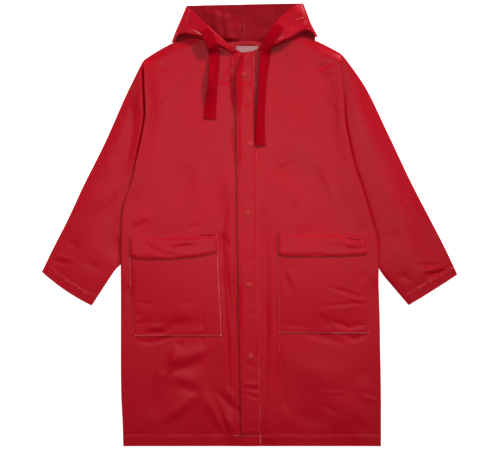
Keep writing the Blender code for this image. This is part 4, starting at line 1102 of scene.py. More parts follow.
def coated_grain():
    """Fine grain, soft dents and a cloudy tone of coated cloth."""
    group, given, out = new_group("coated_grain", [("Place", None), ("Grain", 1.0), ("Dents", 1.0)],
                                  ["Height", "Tone"])
    grain, dents, cloud, speck = [noise(group, given.outputs["Place"], *looks) for looks in GRAIN_NOISES]
    grain = math_node(group, "MULTIPLY", grain, given.outputs["Grain"])
    dents = math_node(group, "MULTIPLY", dents, given.outputs["Dents"])
    plug(group, out, [("Height", math_node(group, "MULTIPLY_ADD", grain, GRAIN_SHARE, dents)),
                      ("Tone", math_node(group, "MULTIPLY_ADD", speck, SPECK_SHARE, cloud))])
    return group


def pale_line():
    """Ragged mask of the pale backing from a width less a distance in millimetres."""
    group, given, out = new_group("pale_line", [("Place", None), ("Width", 0.0)], ["Mask"])
    ragged = noise(group, given.outputs["Place"], *RAGGED_NOISE)
    width = math_node(group, "MULTIPLY_ADD", ragged, RAGGED, given.outputs["Width"])
    low = math_node(group, "SUBTRACT", width, RAGGED_MIDDLE)
    plug(group, out, [("Mask", ranged(group, low, *RAGGED_EDGE, kind="SMOOTHSTEP"))])
    return group


def woven():
    """Diagonal ribs of a woven tape, on a map in metres along and across it."""
    group, given, out = new_group("woven_ribs", [("Place", None), ("Ribs", 900.0), ("Slant", 1.0)],
                                  ["Height"])
    parts = add_node(group, "ShaderNodeSeparateXYZ", [(0, given.outputs["Place"])])
    slanted = math_node(group, "MULTIPLY_ADD", parts.outputs[1], given.outputs["Slant"], parts.outputs[0])
    wave = math_node(group, "SINE", math_node(group, "MULTIPLY", slanted, given.outputs["Ribs"]))
    broken = noise(group, given.outputs["Place"], *YARN_NOISE)
    plug(group, out, [("Height", math_node(group, "MULTIPLY_ADD", broken, YARN_SHARE, wave))])
    return group


def new_finish(name):
    material = bpy.data.materials.new(name)
    material.use_nodes = True
    tree = material.node_tree
    return material, tree, tree.nodes["Principled BSDF"]


def cloth_finish(name, colour, deep, rough, dents):
    """Coated cloth: soft sheen, fine grain, cloudy tone, and its pale backing at cut edges."""
    material, tree, shader = new_finish(name)
    place = add_node(tree, "ShaderNodeTexCoord").outputs["Object"]
    grain = use_group(tree, "grain", [("Place", place), ("Grain", 1.0), ("Dents", dents)])
    red = blend(tree, ranged(tree, grain.outputs["Tone"], *TONE_RANGE), deep, colour)
    width = add_node(tree, "ShaderNodeAttribute", attribute_name="pale").outputs["Fac"]
    pale = use_group(tree, "pale", [("Place", place), ("Width", width)]).outputs["Mask"]
    backing = blend(tree, ranged(tree, width, *BACKING_RANGE), BACKING, BACKING_WIDE)
    sheen = ranged(tree, grain.outputs["Tone"], *SHEEN_RANGE, rough - SHEEN_UNEVEN, rough + SHEEN_UNEVEN)
    plug(tree, shader, [("Base Color", blend(tree, pale, red, backing)),
                        ("Roughness", math_node(tree, "MULTIPLY_ADD", pale, BACKING_DULL, sheen)),
                        ("Normal", emboss(tree, grain.outputs["Height"], 1.0, GRAIN_DEPTH)),
                        ("Specular IOR Level", SPECULAR["cloth"])])
    return material


def plain_finish(name, colour, rough, grain_scale, depth):
    """Thread and pressed caps: one colour broken up by a fine grain."""
    material, tree, shader = new_finish(name)
    place = add_node(tree, "ShaderNodeTexCoord").outputs["Object"]
    speck = noise(tree, place, grain_scale, *CLOUD_DETAIL)
    darker = tuple(value * PLAIN_DARKER for value in colour)
    dull, duller = PLAIN_UNEVEN
    plug(tree, shader, [("Base Color", blend(tree, speck, darker, colour)),
                        ("Roughness", ranged(tree, speck, 0.0, 1.0, rough + dull, rough + duller)),
                        ("Normal", emboss(tree, speck, PLAIN_BUMP, depth)),
                        ("Specular IOR Level", SPECULAR["plain"])])
    return material


def tape_finish(name, colour, ribs, slant, rough):
    """Woven tape with slanted ribs and a slightly fuzzy tone."""
    material, tree, shader = new_finish(name)
    place = add_node(tree, "ShaderNodeUVMap", uv_map="weave").outputs[0]
    ribbed = use_group(tree, "woven", [("Place", place), ("Ribs", ribs), ("Slant", slant)]).outputs[0]
    lit = math_node(tree, "MULTIPLY_ADD", ribbed, RIBS_LIT, noise(tree, place, FUZZ_SCALE, *CLOUD_DETAIL))
    darker = tuple(value * TAPE_DARKER for value in colour)
    plug(tree, shader, [("Base Color", blend(tree, lit, darker, colour)),
                        ("Normal", emboss(tree, ribbed, RIB_BUMP, RIB_DEPTH)),
                        ("Roughness", rough),
                        ("Specular IOR Level", SPECULAR["tape"])])
    return material


# Fronts ------------
def strip_x(y, share):
    edges = smooth(STRIP, y)
    return mix(edges[..., 0], edges[..., 1], share)


def strip_shares(side, across):
    """Shares of the strip's width: where a front meets it, and where the part below it lies."""
    return (0.0, across - 1.0) if side == "right" else (1.0, 2.0 - across)


def pocket_shift(side, across, y):
    """How the rows and columns move so that the pocket stands where it is sewn."""
    pocket = POCKET[side]
    first, last = pocket["columns"]
    by_strip = ramp(1 - across, 0.0, 1 - last)
    lean = pocket["lean"] * smooth(LEAN_ALONG, y)[..., 0] * ramp(across, 0.0, first) * by_strip
    rise = pocket["rise"] * smooth(RISE_ALONG, y)[..., 0] * by_strip
    return lean, rise


def front_place(side, across, y):
    """Plan point of a front: across is 0 at the side and 1 at the strip, more lies under it."""
    across, y = np.broadcast_arrays(across, y)
    near_strip, under = strip_shares(side, across)
    outer = edge_x(side, y) - SIDES[side] * (FOLD_RADIUS + WALL / 2)
    lean, rise = pocket_shift(side, np.minimum(across, 1.0), y)
    x = np.where(across > 1.0, strip_x(y, under), mix(outer, strip_x(y, near_strip), across) + lean)
    return x, np.where(across > 1.0, y, y + rise)


def raglan(side, share):
    """Plan point on the raglan seam, from the neck to the edge that lies on the sleeve."""
    foot_x, foot_y = RAGLAN_FOOT[side]
    foot = np.array([foot_x - SIDES[side] * (FOLD_RADIUS + WALL / 2), foot_y])
    return mix(np.array(RAGLAN_TOP[side]), foot, np.asarray(share)[..., None])


def upper_place(side, across, share):
    """Plan point between the row through the raglan foot and the neckline."""
    across, share = np.broadcast_arrays(across, share)
    near_strip, under = strip_shares(side, across)
    seam = raglan(side, 1 - share)
    strip_y = mix(RAGLAN_FOOT[side][1], NECKLINE_Y[side], share)
    height, place, reach = NECK_RISE[side]
    rise = height * share ** 3 * bell(across - place, reach)
    y = mix(seam[..., 1], strip_y, across) - NECK_SAG * share * np.sin(np.pi * across) + rise
    x = mix(seam[..., 0], strip_x(y, near_strip), across)
    slant = (across - 1.0) * share * NECK_SLANT * -SIDES[side]
    below = across > 1.0
    return np.where(below, strip_x(strip_y + slant, under), x), np.where(below, strip_y + slant, y)


def body_rows(side, across, rows, upper_rows):
    """Plan points of a grid in two parts: rows up to the raglan foot, then up to the neckline."""
    lower = front_place(side, across[None, :], rows[:, None])
    upper = upper_place(side, across[None, :], np.linspace(0, 1, upper_rows)[:, None])
    return np.vstack([lower[0], upper[0]]), np.vstack([lower[1], upper[1]])


def hem_relief(x, y):
    """The doubled cloth of the hem and the small waves along its stitches."""
    relief = band(y, HEM_LINE) + groove("hem", HEM_LINE - y) + puckered(np.abs(y - HEM_LINE), x, 1)
    return relief * (1 - ramp(y - HEM_LINE, *HEM_FADES))


def raglan_relief(side, x, y):
    """The seam allowance that lies under the front along the raglan seam."""
    top, foot = raglan(side, np.array([0.0, 1.0]))
    gap, along = to_line(x, y, [top, foot])
    height, start, end = ALLOWANCE
    swell = height * (1 - ramp(gap, start, end))
    waves = RAGLAN_PUCKER * puckered(gap, along * np.linalg.norm(foot - top), 5)
    return ramp(y - RAGLAN_FOOT[side][1], *RAGLAN_FADES) * (swell + waves)


def turn_profile(radius=FOLD_RADIUS):
    """Half a circle down a turned edge: distance in from its furthest point, and height."""
    angles = [math.pi * k / FOLD_STEPS for k in range(FOLD_STEPS + 1)]
    return [(radius * (1 - math.sin(angle)), radius * (1 + math.cos(angle))) for angle in angles]


def turned_edge(side, y):
    """The side of a front where the cloth turns under, from the hidden end to the edge."""
    sign = SIDES[side]
    outer = edge_x(side, y) - sign * WALL / 2
    depth = mix(FLAP_DEPTH["side"], FLAP_DEPTH["sleeve"], pleat(y))
    flap = edge_mid(side, y) - 2 * FOLD_RADIUS
    points = [(outer - sign * mix(FOLD_RADIUS, depth, share), y, flap) for share in (1, 0.75, 0.5, 0.25)]
    for inward, height in turn_profile()[::-1][:-1]:
        points.append((outer - sign * inward, y, flap + height))
    return np.stack([np.stack(np.broadcast_arrays(*point), axis=-1) for point in points], axis=1)


def make_front(side):
    foot_y = RAGLAN_FOOT[side][1]
    shares = places(0, 1, CELL / FRONT_WIDTH, fine=[SIDE_FINE])
    hidden = np.linspace(0, 1 - LEFT_FRONT_ENDS if side == "left" else RIGHT_FRONT_ENDS, HIDDEN_COLUMNS)[1:]
    across = np.concatenate([shares, 1 + hidden])
    rows = places(HEM_Y, foot_y, CELL, fine=[(HEM_LINE, *HEM_FINE)])[:-1]
    x, y = body_rows(side, across, rows, int(UPPER_RUN / CELL))
    z = rest(x, y) + hem_relief(x, y) + raglan_relief(side, x, y)
    if side == "left":
        z = z + ramp(across - 1.0, 0.0, 1.0 - RIGHT_FRONT_ENDS) * LAYER
    turned = turned_edge(side, np.minimum(y[:, 0], foot_y))
    points = np.concatenate([turned, np.stack([x, y, z], axis=-1)], axis=1)
    keep = cells(points, True)
    keep[len(rows):, :turned.shape[1]] = False
    x, y = points[..., 0], points[..., 1]
    inward = np.abs(x - edge_x(side, y))
    pale = most(pale_width(HEM_PALE, x, 2) / 2 - np.abs(y - HEM_LINE),
                pale_width(HEM_EDGE_PALE, x, 4) - (y - HEM_Y),
                pale_width(SIDE_PALE[side], y, 6) / 2 - np.abs(inward - SIDE_SEAM),
                marked("front_" + side, x, y))
    shell("front_cloth_" + side, "front_" + side, points, pale=pale, keep=keep)


def make_strip():
    share = places(0.0001, 1, STRIP_STEP, fine=[STRIP_FINE])
    rows = places(STRIP_FOOT_Y, RAGLAN_FOOT["right"][1], FINE_CELL)[:-1]
    x, y = body_rows("right", 1.0 + share, rows, STRIP_UPPER_ROWS)
    lift = smooth(STRIP_LIFT, y)[..., 0] * (1 - ramp(share, 0.0, LIFTED))
    under = LAYER * (1 - ramp(share, RIGHT_FRONT_ENDS, 1.0))
    inward = smooth(STRIP, y)[..., 1] - x
    sewn = puckered(inward - SEWN["strip"][0], y, 7) + groove("strip", inward)
    creases = STRIP_CREASE * creased(STRIP_CREASES, x, y) * ramp(x, *STRIP_CREASES_FROM)
    foot = STRIP_FOOT_LIFT * (1 - ramp(y - STRIP_FOOT_Y, *STRIP_FOOT_BAND))
    z = rest(x, y) + LAYER + under + lift + sewn + creases + foot
    pale = pale_width(STRIP_PALE, y, 8) - inward
    shell("closing_strip", "placket", np.stack([x, y, z], axis=-1), pale=pale)


# Pockets ------------
def pocket_grid(side, rows):
    """Plan points of a piece that lies on a front, with its shares across and up."""
    first, last = POCKET[side]["columns"]
    low, high = rows
    across = places(first, last, FINE_CELL / FRONT_WIDTH)
    tall = places(low, high, FINE_CELL)
    x, y = front_place(side, across[None, :], tall[:, None])
    return x, y, ((across - first) / (last - first))[None, :], ((tall - low) / (high - low))[:, None]


def bag_belly(wide, tall):
    """How far the bag stands off the front, at shares across and up it."""
    lowest, rising = BELLY_UP
    rise = np.sin(np.pi * np.clip(wide, 0, 1)) ** BELLY_POWERS[0]
    return BAG_BELLY * rise * np.sin(np.pi * (lowest + rising * tall)) ** BELLY_POWERS[1]


def edge_gaps(x, y):
    """Distance of a grid's points from its two side columns, its first row and its last."""
    edges = (np.s_[:, :1], np.s_[:, -1:], np.s_[:1], np.s_[-1:])
    return [np.hypot(x - x[edge], y - y[edge]) for edge in edges]


def make_pocket(side):
    x, y, wide, tall = pocket_grid(side, BAG_ROWS)
    by_side, by_strip, by_foot, _ = edge_gaps(x, y)
    seam = least(by_side, by_strip, by_foot)
    waves = puckered(by_side, y, 11) + puckered(by_strip, y, 12) + puckered(by_foot, x, 13)
    z = (rest(x, y) + LAYER + bag_belly(wide, tall) * ramp(tall, 0.0, BELLY_FOOT) + groove("bag", seam)
         + waves * ramp(seam, 0, WAVES_FROM))
    taken = BAG_CREASE[side] * mix(SEAM_CREASE, 1.0, ramp(seam, 0.0, CREASES_WHOLE))
    z = z + creased(POCKET_CREASES, x, y) * taken
    shown = BAG_PALE[side]
    pale = most(pale_width(shown["side"], y, 14) - by_side, pale_width(shown["strip"], y, 15) - by_strip,
                pale_width(shown["foot"], x, 16) - by_foot)
    shell("pocket_bag_" + side, "pocket_" + side, np.stack([x, y, z], axis=-1), pale=pale)


def make_flap(side):
    (low, high), (flap_low, flap_high) = BAG_ROWS, FLAP_ROWS
    x, y, wide, tall = pocket_grid(side, FLAP_ROWS)
    height = mix(flap_low, flap_high, tall)
    below, above = FLAP_HEAD_RUN
    over_bag = mix(FLAP_HEAD, 1.0, 1 - ramp(height, high - below, flap_high - above))
    bag = bag_belly(wide, (np.minimum(height, high) - low) / (high - low))
    z = (rest(x, y) + LAYER + (bag + LAYER + FLAP_CLEAR) * over_bag
         + FLAP_BELLY * np.sin(np.pi * (1 - tall) * 0.5))
    corner = smooth(FLAP_CORNERS[side], wide)[..., 0]
    y = y + (corner + FLAP_WAVY * waver(x * FLAP_WAVY_PACE, 26)) * (1 - tall)
    by_side, by_strip, by_foot, by_head = edge_gaps(x, y)
    rim = least(by_side, by_strip, by_foot)
    waves = (puckered(by_foot, x, 21) + FLAP_PUCKER["head"] * puckered(by_head, x, 22)
             + FLAP_PUCKER["side"] * puckered(by_side, y, 23))
    lifted, from_y, to_y = FLAP_FOOT_LIFT
    z = (z - FLAP_ROLL[0] * bell(rim, FLAP_ROLL[1]) + groove("flap", np.minimum(rim, by_head)) + waves
         + creased(FLAP_CREASES, x, y) + lifted * ramp(y, from_y, to_y) * (1 - tall))
    wavy = 1 + FLAP_PALE_UNEVEN * waver(x * FLAP_PALE_PACE, 24)
    pale = most(FLAP_PALE["foot"] * wavy - by_foot, FLAP_PALE["head"] * wavy - by_head,
                FLAP_PALE["side"] - by_side, FLAP_PALE["strip"] - by_strip)
    shell("pocket_flap_" + side, "flap_" + side, np.stack([x, y, z], axis=-1), pale=pale)


# Back ------------
def make_back():
    """Panel under the fronts, flat on the table but for a few soft lifts."""
    edges = {}
    for side, sign in SIDES.items():
        below = [(y, float(edge_x(side, y)) - sign * WALL / 2) for y in BACK_SIDE]
        beside = [smooth(SLEEVE[side], station)[4:6] for station in BACK_STATIONS]
        edges[side] = np.array(below + [(y, x - sign * GAP) for x, y in beside])
    rows = places(HEM_Y, edges["left"][-1, 0], CELL * BACK_CELL)
    left, right = [np.interp(rows, *edges[side].T)[:, None] for side in SIDES]
    x = mix(left, right, np.linspace(0, 1, BACK_COLUMNS)[None, :])
    y = np.broadcast_to(rows[:, None], x.shape)
    lift = creased(BACK_CREASES, x, y) * ramp(np.minimum(x - left, right - x), *BACK_CREASES_FROM)
    shell("back_cloth", "back", np.stack([x, y, TABLE_MID + lift], axis=-1), pale=BACK_PALE - (y - HEM_Y))


# Sleeves ------------
def arm_mid(side, station, x, y, across):
    """Height of the middle of the arm's upper layer."""
    beside = SIDES[side] * (x - edge_x(side, y))
    starts = min(np.interp(ARM_STARTS[side], beside, across), MOST_HIDDEN)
    hidden = mix(starts, 0.0, ramp(station, *ARM_FREE))
    share = np.clip((across - hidden) / (1 - hidden), 0.0, 1.0)
    steep = mix(ARM_RISE[side], ARM_OUTER_FALL, ramp(share, 0.0, 0.5))
    crown = ARM_LOFT[side] * np.sin(np.pi * share) ** steep * ramp(station, *ARM_LOFTS)
    crown = crown * mix(1.0, CUFF_LOFT, ramp(station, 7.0, 8.0))
    edge = mix(SECOND_MID, TABLE_MID + 2 * FOLD_RADIUS, ramp(across, ARM_EDGE_FALLS, 1.0))
    rises, stands = ARMPIT
    slope = ramp(beside, rises, stands) * (1 - ramp(beside, stands, ARM_FALL))
    begins, fades = ARMPIT_STATIONS
    return edge + crown + ARM_BESIDE[side] * slope * ramp(station, *begins) * (1 - ramp(station, *fades))


def sleeve_ends(side, station):
    """Plan points of the front seam, outer fold and back seam at a station, and its row's bow."""
    row = smooth(SLEEVE[side], station)
    front, outer, back = row[0:2], row[2:4], row[4:6]
    if station <= 1.0:
        front = raglan(side, station)
    if station <= 1.0 or station == 2.0:
        front = front + unit(outer - front) * SEAM
    return front, outer, back, max(station - 7.0, 0.0) * CUFF_BOW[side]


def bowed(start, end, share, bow):
    """Plan points on the way from start to end, on a line that bows towards the cuff."""
    way = unit(end - start)
    down = np.array([way[1], -way[0]])
    if down[1] > 0:
        down = -down
    share = np.asarray(share, dtype=float)[..., None]
    return mix(start, end, share) + down * bow * 4 * share * (1 - share)


def sleeve_top(front, outer, across, bow):
    """Plan points of a sleeve's upper layer."""
    inner = outer - unit(outer - front) * (FOLD_RADIUS + WALL / 2)
    return bowed(front, inner, across, bow)


def sleeve_row(side, station, top_mid):
    """One row round a flat sleeve: upper layer, outer fold, lower layer."""
    front, outer, back, bow = sleeve_ends(side, station)
    top = sleeve_top(front, outer, SLEEVE_ACROSS, bow)
    points = [np.column_stack([top, top_mid(side, station, *top.T, SLEEVE_ACROSS)])]
    out = unit(outer - front)
    for inward, rise in turn_profile()[1:]:
        points.append(np.append(outer - out * (inward + WALL / 2), TABLE_MID + rise)[None, :])
    under = bowed(top[-1], back, SLEEVE_UNDER, bow)
    points.append(np.column_stack([under, np.full(len(under), TABLE_MID)]))
    return np.vstack(points)


def pleat_profile(depth):
    """Two turns of a flat pleat: distance in from its edge, and drop as a share of the whole."""
    upper = [(x, 2 * FOLD_RADIUS - z) for x, z in turn_profile()]
    lower = [(depth + FOLD_RADIUS - x, 4 * FOLD_RADIUS - z) for x, z in turn_profile()]
    middle = [(mix(FOLD_RADIUS, depth, share), 2 * FOLD_RADIUS) for share in (0.25, 0.5, 0.75)]
    return [(x, drop / (4 * FOLD_RADIUS)) for x, drop in upper + middle + lower]


def pleat_rows(side, first, last):
    """Rows between the edge that lies on the sleeve and the arm below it, folded twice."""
    sign = SIDES[side]
    crease_x = mix(RAGLAN_FOOT[side][0], SHOULDER_CORNER[side][0], SLEEVE_ACROSS)
    tops = len(SLEEVE_ACROSS)
    steps = len(pleat_profile(1.0)) - 1
    depth = np.maximum((crease_x - last[:tops, 0]) * sign, FOLD_RADIUS)
    folded_share = 1 - ramp(SLEEVE_ACROSS, *PLEAT_FADES)
    rows = []
    for k in range(1, steps):
        row = mix(first, last, k / steps)
        inward, fall = np.array([pleat_profile(value)[k] for value in depth]).T
        folded = row[:tops].copy()
        folded[:, 0] = crease_x - sign * (inward + WALL / 2)
        folded[:, 2] = mix(first[:tops, 2], last[:tops, 2], fall)
        row[:tops] = mix(row[:tops], folded, folded_share[:, None])
        rows.append(row)
    return rows


def cuff_gap(side, x, y):
    """Distance of places from the cuff's edge, and their share along it."""
    front, outer, _, bow = sleeve_ends(side, 8.0)
    return to_line(x, y, sleeve_top(front, outer, np.linspace(0, 1, 9), bow))


def cuff_relief(side, x, y):
    """The doubled cloth of the cuff's hem and the waves along its stitches."""
    gap, along = cuff_gap(side, x, y)
    relief = band(gap, CUFF_DEPTH, CUFF_BAND_SOFT) + groove("cuff", CUFF_DEPTH - gap)
    return (relief + puckered(np.abs(gap - CUFF_DEPTH), along * CUFF_RUN, 31)) * (1 - ramp(gap, *CUFF_FADES))


def shoulder_top(side, station, x, y, across):
    """Height of the shoulder's middle, lower at its outer fold, with its creases but at its edges."""
    outer, inner = SHOULDER_CREASES
    inside = (1 - ramp(across, *outer)) * ramp(across, *inner)
    falls = ramp(across, mix(*SHOULDER_FALL, station), 1.0)
    return mix(rest(x, y), TABLE_MID + 2 * FOLD_RADIUS, falls) + creased(SLEEVE_CREASES, x, y) * inside


def arm_top(side, station, x, y, across):
    """Height of the arm's middle, with its creases and cuff but at its edges."""
    inner, outer = ARM_CREASES
    inside = ramp(across, *inner) * (1 - ramp(across, *outer))
    relief = creased(SLEEVE_CREASES, x, y) + cuff_relief(side, x, y)
    return arm_mid(side, station, x, y, across) + relief * inside


def make_sleeve(side):
    stations = np.linspace(0, 1, int(RAGLAN_RUN / CELL))
    shoulder = [sleeve_row(side, station, shoulder_top) for station in stations]
    stations = places(2.0, 8.0, CELL / STATION_RUN, fine=[CUFF_FINE])
    arm = [sleeve_row(side, station, arm_top) for station in stations]
    points = np.array(shoulder + pleat_rows(side, shoulder[-1], arm[0]) + arm)
    x, y = points[..., 0], points[..., 1]
    gap, along = cuff_gap(side, x, y)
    uneven = 1 + CUFF_PALE_UNEVEN * waver(along * CUFF_RUN, 34)
    pale = most(pale_width(CUFF_PALE, along, 33) * uneven - gap, marked("sleeve_" + side, x, y))
    pale[:, len(SLEEVE_ACROSS) + FOLD_STEPS:] = NO_PALE
    shell("sleeve_cloth_" + side, "sleeve_" + side, points, pale=pale)


# Hood ------------
def hood_seam(share):
    """Height of the cloth that runs back below the hood's side, and the radius of the fold there."""
    grows, shrinks, left = HOOD_ROLL_ENDS
    roll = HOOD_ROLL * np.minimum(share / grows, 1.0) ** 0.5 * (1 - left * ramp(share, shrinks, 1.0))
    return mix(*HOOD_SEAM_MID, ramp(share, *HOOD_LEAVES_BODY)), roll + LEAST_ROLL


def hood_mid(share, depth, fold_top):
    """Height of the middle of the hood's side over the table."""
    seam, roll = hood_seam(share)
    rising = np.minimum(depth / HOOD_BULGE, 1.0)
    swell = np.sqrt(np.maximum(1 - (1 - rising) ** 2, 0.0)) * (1 - HOOD_FALL * depth)
    start, run = FOLD_LOFT_FROM
    loft = HOOD_LOFT * np.sin(np.pi * np.minimum(share, 0.5)) ** HOOD_SWELL
    loft = loft * mix(1.0, FOLD_LOFT, np.clip((share - start) / run, 0.0, 1.0))
    loft = np.maximum(loft - 2 * roll, LEAST_LOFT)
    return mix(seam + 2 * roll + loft * swell, fold_top, ramp(share, HOOD_TURNS, 1.0))


def hood_ends(side, share):
    """Lower edge and opening of the hood's side, the way from one to the other, and its length."""
    row = smooth(HOOD_TOP[side], share)
    low, high = row[..., 0:2], row[..., 2:4]
    run = np.linalg.norm(high - low, axis=-1)[..., None]
    return low, high, (high - low) / run, run


def hood_turn(side):
    """Rows of the hood's lower fold, from the cloth below it up to its side."""
    low, _, up, run = hood_ends(side, HOOD_ACROSS)
    seam, roll = hood_seam(HOOD_ACROSS)
    tuck = HOOD_TUCK * np.minimum(run / TUCK_RUN, 1.0)
    rows = [np.column_stack([low + up * (roll[:, None] + tuck * part), seam]) for part in (1.0, 0.6, 0.25)]
    for angle in np.pi * np.linspace(1, 0, FOLD_STEPS + 1)[:-1]:
        inward = roll * (1 - np.sin(angle))
        rows.append(np.column_stack([low + up * inward[:, None], seam + roll * (1 + np.cos(angle))]))
    return rows


def neck_line(side, x):
    """y of the shoulder's outer fold, where the hood's back layer starts beside the neck."""
    fold = smooth(SLEEVE[side], np.linspace(0, 0.5, 20))[:, 2:4]
    fold = fold[np.argsort(fold[:, 0])]
    return np.interp(x, *fold.T) + NECK_GAP


def over_hood_hem(x, y):
    return y - np.interp(x, *np.array(HOOD_HEM).T)


def hood_relief(side, share, depth):
    """Casing and rolled rim of the hood's side."""
    gap = (1 - depth) * hood_ends(side, share)[3][..., 0]
    relief = band(gap, CASING) + groove("hood", CASING - gap)
    for middle, height, width in HOOD_SWELLS:
        relief = relief + height * bell(gap - middle, width)
    return relief + puckered(np.abs(gap - CASING), share * RIM_RUN, 41)


def hood_outside(side, depth, outer, radius):
    """Upper layer of a row of the hood, from the front end to the side fold."""
    low, high, up, _ = hood_ends(side, HOOD_ACROSS)
    x, y = mix(low + up * hood_seam(HOOD_ACROSS)[1][..., None], high, depth).T
    at_fold = ramp(HOOD_ACROSS, HOOD_FOLDS_FROM, 1.0)
    x = mix(x, outer[0] - SIDES[side] * radius, at_fold)
    y = mix(y, outer[1], at_fold)
    ends, foot, front = HOOD_RELIEF_FADES
    inside = (1 - ramp(HOOD_ACROSS, *ends)) * ramp(depth, *foot) * ramp(HOOD_ACROSS, *front)
    relief = hood_relief(side, HOOD_ACROSS, depth) + HOOD_CREASE * creased(HOOD_CREASES, x, y)
    return np.column_stack([x, y, hood_mid(HOOD_ACROSS, depth, TABLE_MID + 2 * radius) + inside * relief])


def hood_inside(side, depth):
    """Lower layer of a row of the hood, from the side fold to the centre seam."""
    back = smooth(HOOD_BACK[side], HOOD_UNDER)
    neck_y = np.where(HOOD_UNDER <= NECK_ENDS, neck_line(side, back[:, 0]), back[:, 1])
    x, y = mix(back[:, 0], back[:, 2], depth), mix(neck_y, back[:, 3], depth)
    by_fold, by_seam, by_neck = LINING_FREE
    free = ramp(HOOD_UNDER, *by_fold) * (1 - ramp(HOOD_UNDER, *by_seam))
    lift = leaned(HOOD_LINING_FOLDS, x, y) * free * ramp(depth, *by_neck)
    over = over_hood_hem(x, y)
    hem = HOOD_HEM_LIFT * ramp(over, -HOOD_HEM_SOFT, HOOD_HEM_SOFT) + puckered(np.abs(over), x, 44)
    height, start, end = CENTRE_ALLOWANCE
    allowance = height * (1 - ramp(np.abs(x - HOOD_SEAM_X), start, end)) * (side == "left")
    return np.column_stack([x, y, TABLE_MID + lift + hem * free + allowance])


def hood_pale(side, points, outside):
    """Pale backing along the hood's rim, its marks, its centre seam and its inner hem."""
    x, y = points[..., 0], points[..., 1]
    steps = np.linalg.norm(np.diff(points, axis=0), axis=2)
    by_rim = np.vstack([np.cumsum(steps[::-1], axis=0)[::-1], np.zeros((1, points.shape[1]))])
    share = np.broadcast_to(np.append(HOOD_ACROSS, np.full(points.shape[1] - len(HOOD_ACROSS), 2.0)), x.shape)
    rim = pale_width(HOOD_PALE["rim"], share, 42) - by_rim
    centre = pale_width(HOOD_PALE["seam"], y, 43) - np.abs(x - HOOD_SEAM_X)
    stitched = pale_width(HOOD_PALE["hem"], x, 45) - np.abs(over_hood_hem(x, y))
    return np.where(outside, most(rim, marked("hood_" + side, x, y)), most(centre, stitched))


def make_hood(side):
    rows = []
    for depth in HOOD_DEPTH:
        fold_x, fold_y, radius = smooth(HOOD_FOLD[side], depth)
        outer = np.array([fold_x - SIDES[side] * WALL / 2, fold_y])
        turn = [(outer[0] - SIDES[side] * inward, outer[1], TABLE_MID + height)
                for inward, height in turn_profile(radius)[1:]]
        rows.append(np.vstack([hood_outside(side, depth, outer, radius), turn, hood_inside(side, depth)]))
    tops = len(HOOD_ACROSS)
    turned = [np.vstack([row, rows[0][tops:]]) for row in hood_turn(side)]
    points = np.array(turned + rows)
    keep = cells(points, True)
    keep[:len(turned), HOOD_TURN_ENDS:] = False
    # Cells of the inside layer, which take the darker red of painted shade
    lining_shade = cells(points, 0)
    lining_shade[:, tops + FOLD_STEPS // 2:] = 1
    pale = hood_pale(side, points, np.arange(points.shape[1]) < tops)
    shell("hood_cloth_" + side, "hood_" + side, points, pale=pale, keep=keep, lining_shade=lining_shade)


# Trims ------------
def spots_of(piece):
    spots = np.zeros(len(piece.data.vertices) * 3, dtype=np.float32)
    piece.data.vertices.foreach_get("co", spots)
    return spots.reshape(-1, 3)


def lay_weave(piece, along, across):
    """A map in metres along and across a tape, for its weave."""
    layer = piece.data.uv_layers.get("weave") or piece.data.uv_layers.new(name="weave")
    piece.data.uv_layers.active = layer
    corner = np.zeros(len(piece.data.loops), dtype=np.int32)
    piece.data.loops.foreach_get("vertex_index", corner)
    places_on_map = np.stack([along[corner], across[corner]], axis=1)
    layer.data.foreach_set("uv", places_on_map.reshape(-1).astype(np.float32))


def make_drawstring(side):
    """A free end of the drawstring, bowed across its width, wavy at its edges and double at its end."""
    place = measured([spot[:3] for spot in DRAWSTRING[side]])[2]
    at = np.linspace(0, place[-1], TAPE_ROWS)
    route = smooth(np.column_stack([place, DRAWSTRING[side]]), at)
    middle, turn = route[:, :3], np.radians(route[:, 3:])
    forward = unit(np.gradient(middle, axis=0))
    level = unit(np.stack([forward[:, 1], -forward[:, 0], np.zeros(len(forward))], axis=1))
    wide = level * np.cos(turn) + np.cross(level, forward) * np.sin(turn)
    up = np.cross(wide, forward)
    up *= np.sign(up[:, 2:])
    share, down = np.linspace(-0.5, 0.5, TAPE_COLUMNS), at[:, None]
    spread = smooth(TAPE_SPREAD[side], down[:, 0] / at[-1]) * TAPE_WIDTH * share
    height, even, pace = TAPE_BOWL
    bowl = height * np.cos(share * 2 * np.pi) * (even + (1 - even) * waver(down * pace, 51))
    height, pace, shift = TAPE_EDGE
    edge = height * np.sin(down * pace + share * shift) * (np.abs(share) * 2) ** 3
    height, start, end = TAPE_END
    double = height * ramp(down, at[-1] - start, at[-1] - end)
    points = (middle[:, None, :] + wide[:, None, :] * spread[..., None]
              + up[:, None, :] * (bowl + edge + double)[..., None])
    piece = shell("drawstring_tape_" + side, "drawstring_" + side, points, "tape", wall=TAPE)
    order = np.arange(len(piece.data.vertices)) % spread.size
    lay_weave(piece, at[order // TAPE_COLUMNS] * MM, share[order % TAPE_COLUMNS] * TAPE_WIDTH * MM)


